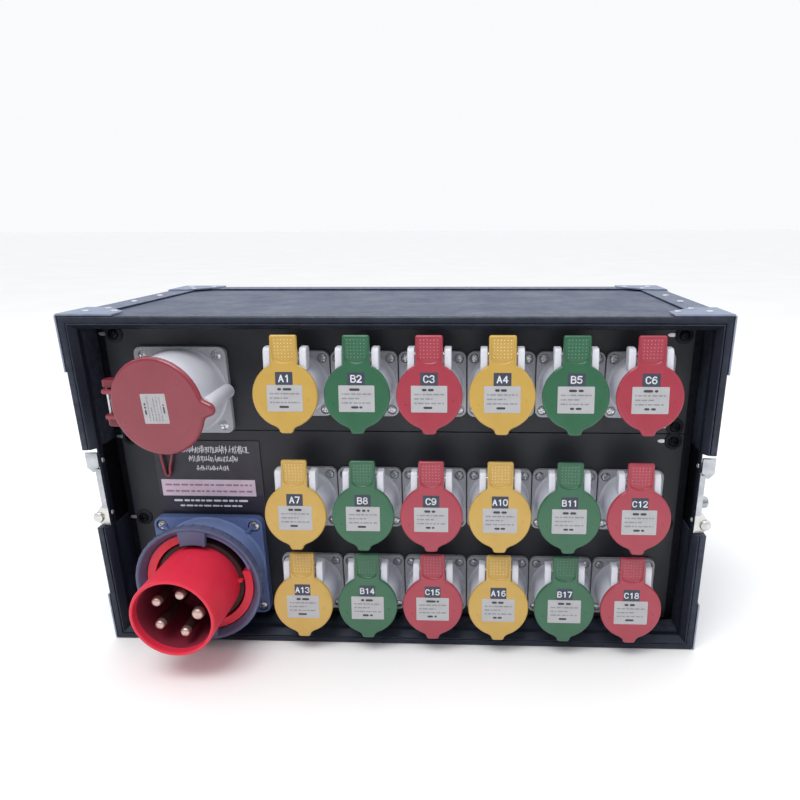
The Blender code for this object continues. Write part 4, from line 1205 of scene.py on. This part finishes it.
def cap_tether():
    """Thin red strap that hangs in a narrow loop from the main socket's flange."""
    y = PANEL_Y / MM - 3
    path = mm((-208.5, y, 190), (-208, y, 180), (-207, y - 1, 168), (-205.6, y - 1, 156),
              (-204.2, y, 149.5), (-202.6, y, 149.6), (-200.4, y - 1, 157), (-197.4, y - 1, 168),
              (-195.4, y, 180), (-194.5, y, 190))
    curve = bpy.data.curves.new("cap_tether", "CURVE")
    curve.dimensions = "3D"
    curve.bevel_depth = 1.4 * MM
    curve.bevel_resolution = 3
    spline = curve.splines.new("BEZIER")
    spline.bezier_points.add(len(path) - 1)
    for point, place in zip(spline.bezier_points, path):
        point.co = place
        point.handle_left_type = point.handle_right_type = "AUTO"
    holder = linked("holder", curve)
    graph = bpy.context.evaluated_depsgraph_get()
    mesh = bpy.data.meshes.new_from_object(holder.evaluated_get(graph))
    bpy.data.objects.remove(holder)
    mesh.materials.clear()
    mesh.materials.append(CAP_RED)
    mesh.shade_smooth()
    piece("cap_tether", mesh, "case")


# -------- stage
def camera():
    data = bpy.data.cameras.new("camera")
    data.sensor_width = 36
    data.lens = 30.235
    data.shift_x = -0.0678
    data.shift_y = 0.0666
    data.clip_start = 0.01
    obj = linked("camera", data)
    obj.location = (0.0716, -0.6364, 0.3588)
    obj.rotation_euler = [math.radians(angle) for angle in (71.033, 0.245, 2.371)]
    bpy.context.scene.camera = obj


def floor():
    bm = bmesh.new()
    bmesh.ops.create_grid(bm, x_segments=1, y_segments=1, size=30)
    made = Finish("pale_floor", roughness=0.8, Specular_IOR_Level=0.2)
    made.mottled("f3f3f3", "f7f7f7", 3)
    linked("floor", settle(bm, "floor", [made.material]))


def soft_light(name, place, target, size, power, colour):
    data = bpy.data.lights.new(name, "AREA")
    data.shape = "RECTANGLE"
    data.size, data.size_y = size
    data.energy = power
    data.color = colour
    obj = linked(name, data)
    obj.location = place
    direction = Vector(target) - Vector(place)
    obj.rotation_euler = direction.to_track_quat("-Z", "Y").to_euler()


def studio():
    """Soft room light: dimmer in front of the box, paler behind it."""
    world = bpy.data.worlds.new("studio")
    world.use_nodes = True
    tree = world.node_tree
    direction = tree.nodes.new("ShaderNodeTexCoord").outputs["Generated"]
    split = tree.nodes.new("ShaderNodeSeparateXYZ")
    tree.links.new(direction, split.inputs[0])
    total = tree.nodes.new("ShaderNodeMath")
    for i, (axis, *ends) in enumerate((("Y", -0.6, 0.7, 0.24, 0.98), ("Z", 0.3, 0.95, 0.0, 0.75))):
        grade = tree.nodes.new("ShaderNodeMapRange")
        grade.interpolation_type = "SMOOTHSTEP"
        for socket, value in zip(("From Min", "From Max", "To Min", "To Max"), ends):
            grade.inputs[socket].default_value = value
        tree.links.new(split.outputs[axis], grade.inputs["Value"])
        tree.links.new(grade.outputs["Result"], total.inputs[i])
    background = tree.nodes["Background"]
    background.inputs["Color"].default_value = (0.97, 0.98, 1.0, 1.0)
    tree.links.new(total.outputs[0], background.inputs["Strength"])
    bpy.context.scene.world = world


def lights():
    target = (0, 0, 0.15)
    soft_light("key", (-0.4, -1.1, 2.1), target, (1.2, 0.9), 26, (1.0, 0.99, 0.98))
    soft_light("fill", (1.5, -1.5, 0.9), target, (1.0, 1.0), 2, (0.97, 0.98, 1.0))
    soft_light("top", (0.1, 0.6, 2.0), target, (1.8, 1.2), 3, (0.90, 0.94, 1.0))


def main():
    kept_nodes()
    front_frame()
    edge_extrusions()
    corner_braces()
    case_rivets()
    for side, hand in ((-1, "left"), (1, "right")):
        butterfly(side, hand)
        latch_catch(side, hand)
    rack_screws()
    identification_plate()
    small_sockets()
    main_socket()
    main_cap()
    inlet()
    cap_tether()
    camera()
    floor()
    studio()
    lights()
    bpy.context.scene.view_settings.view_transform = "Standard"


main()
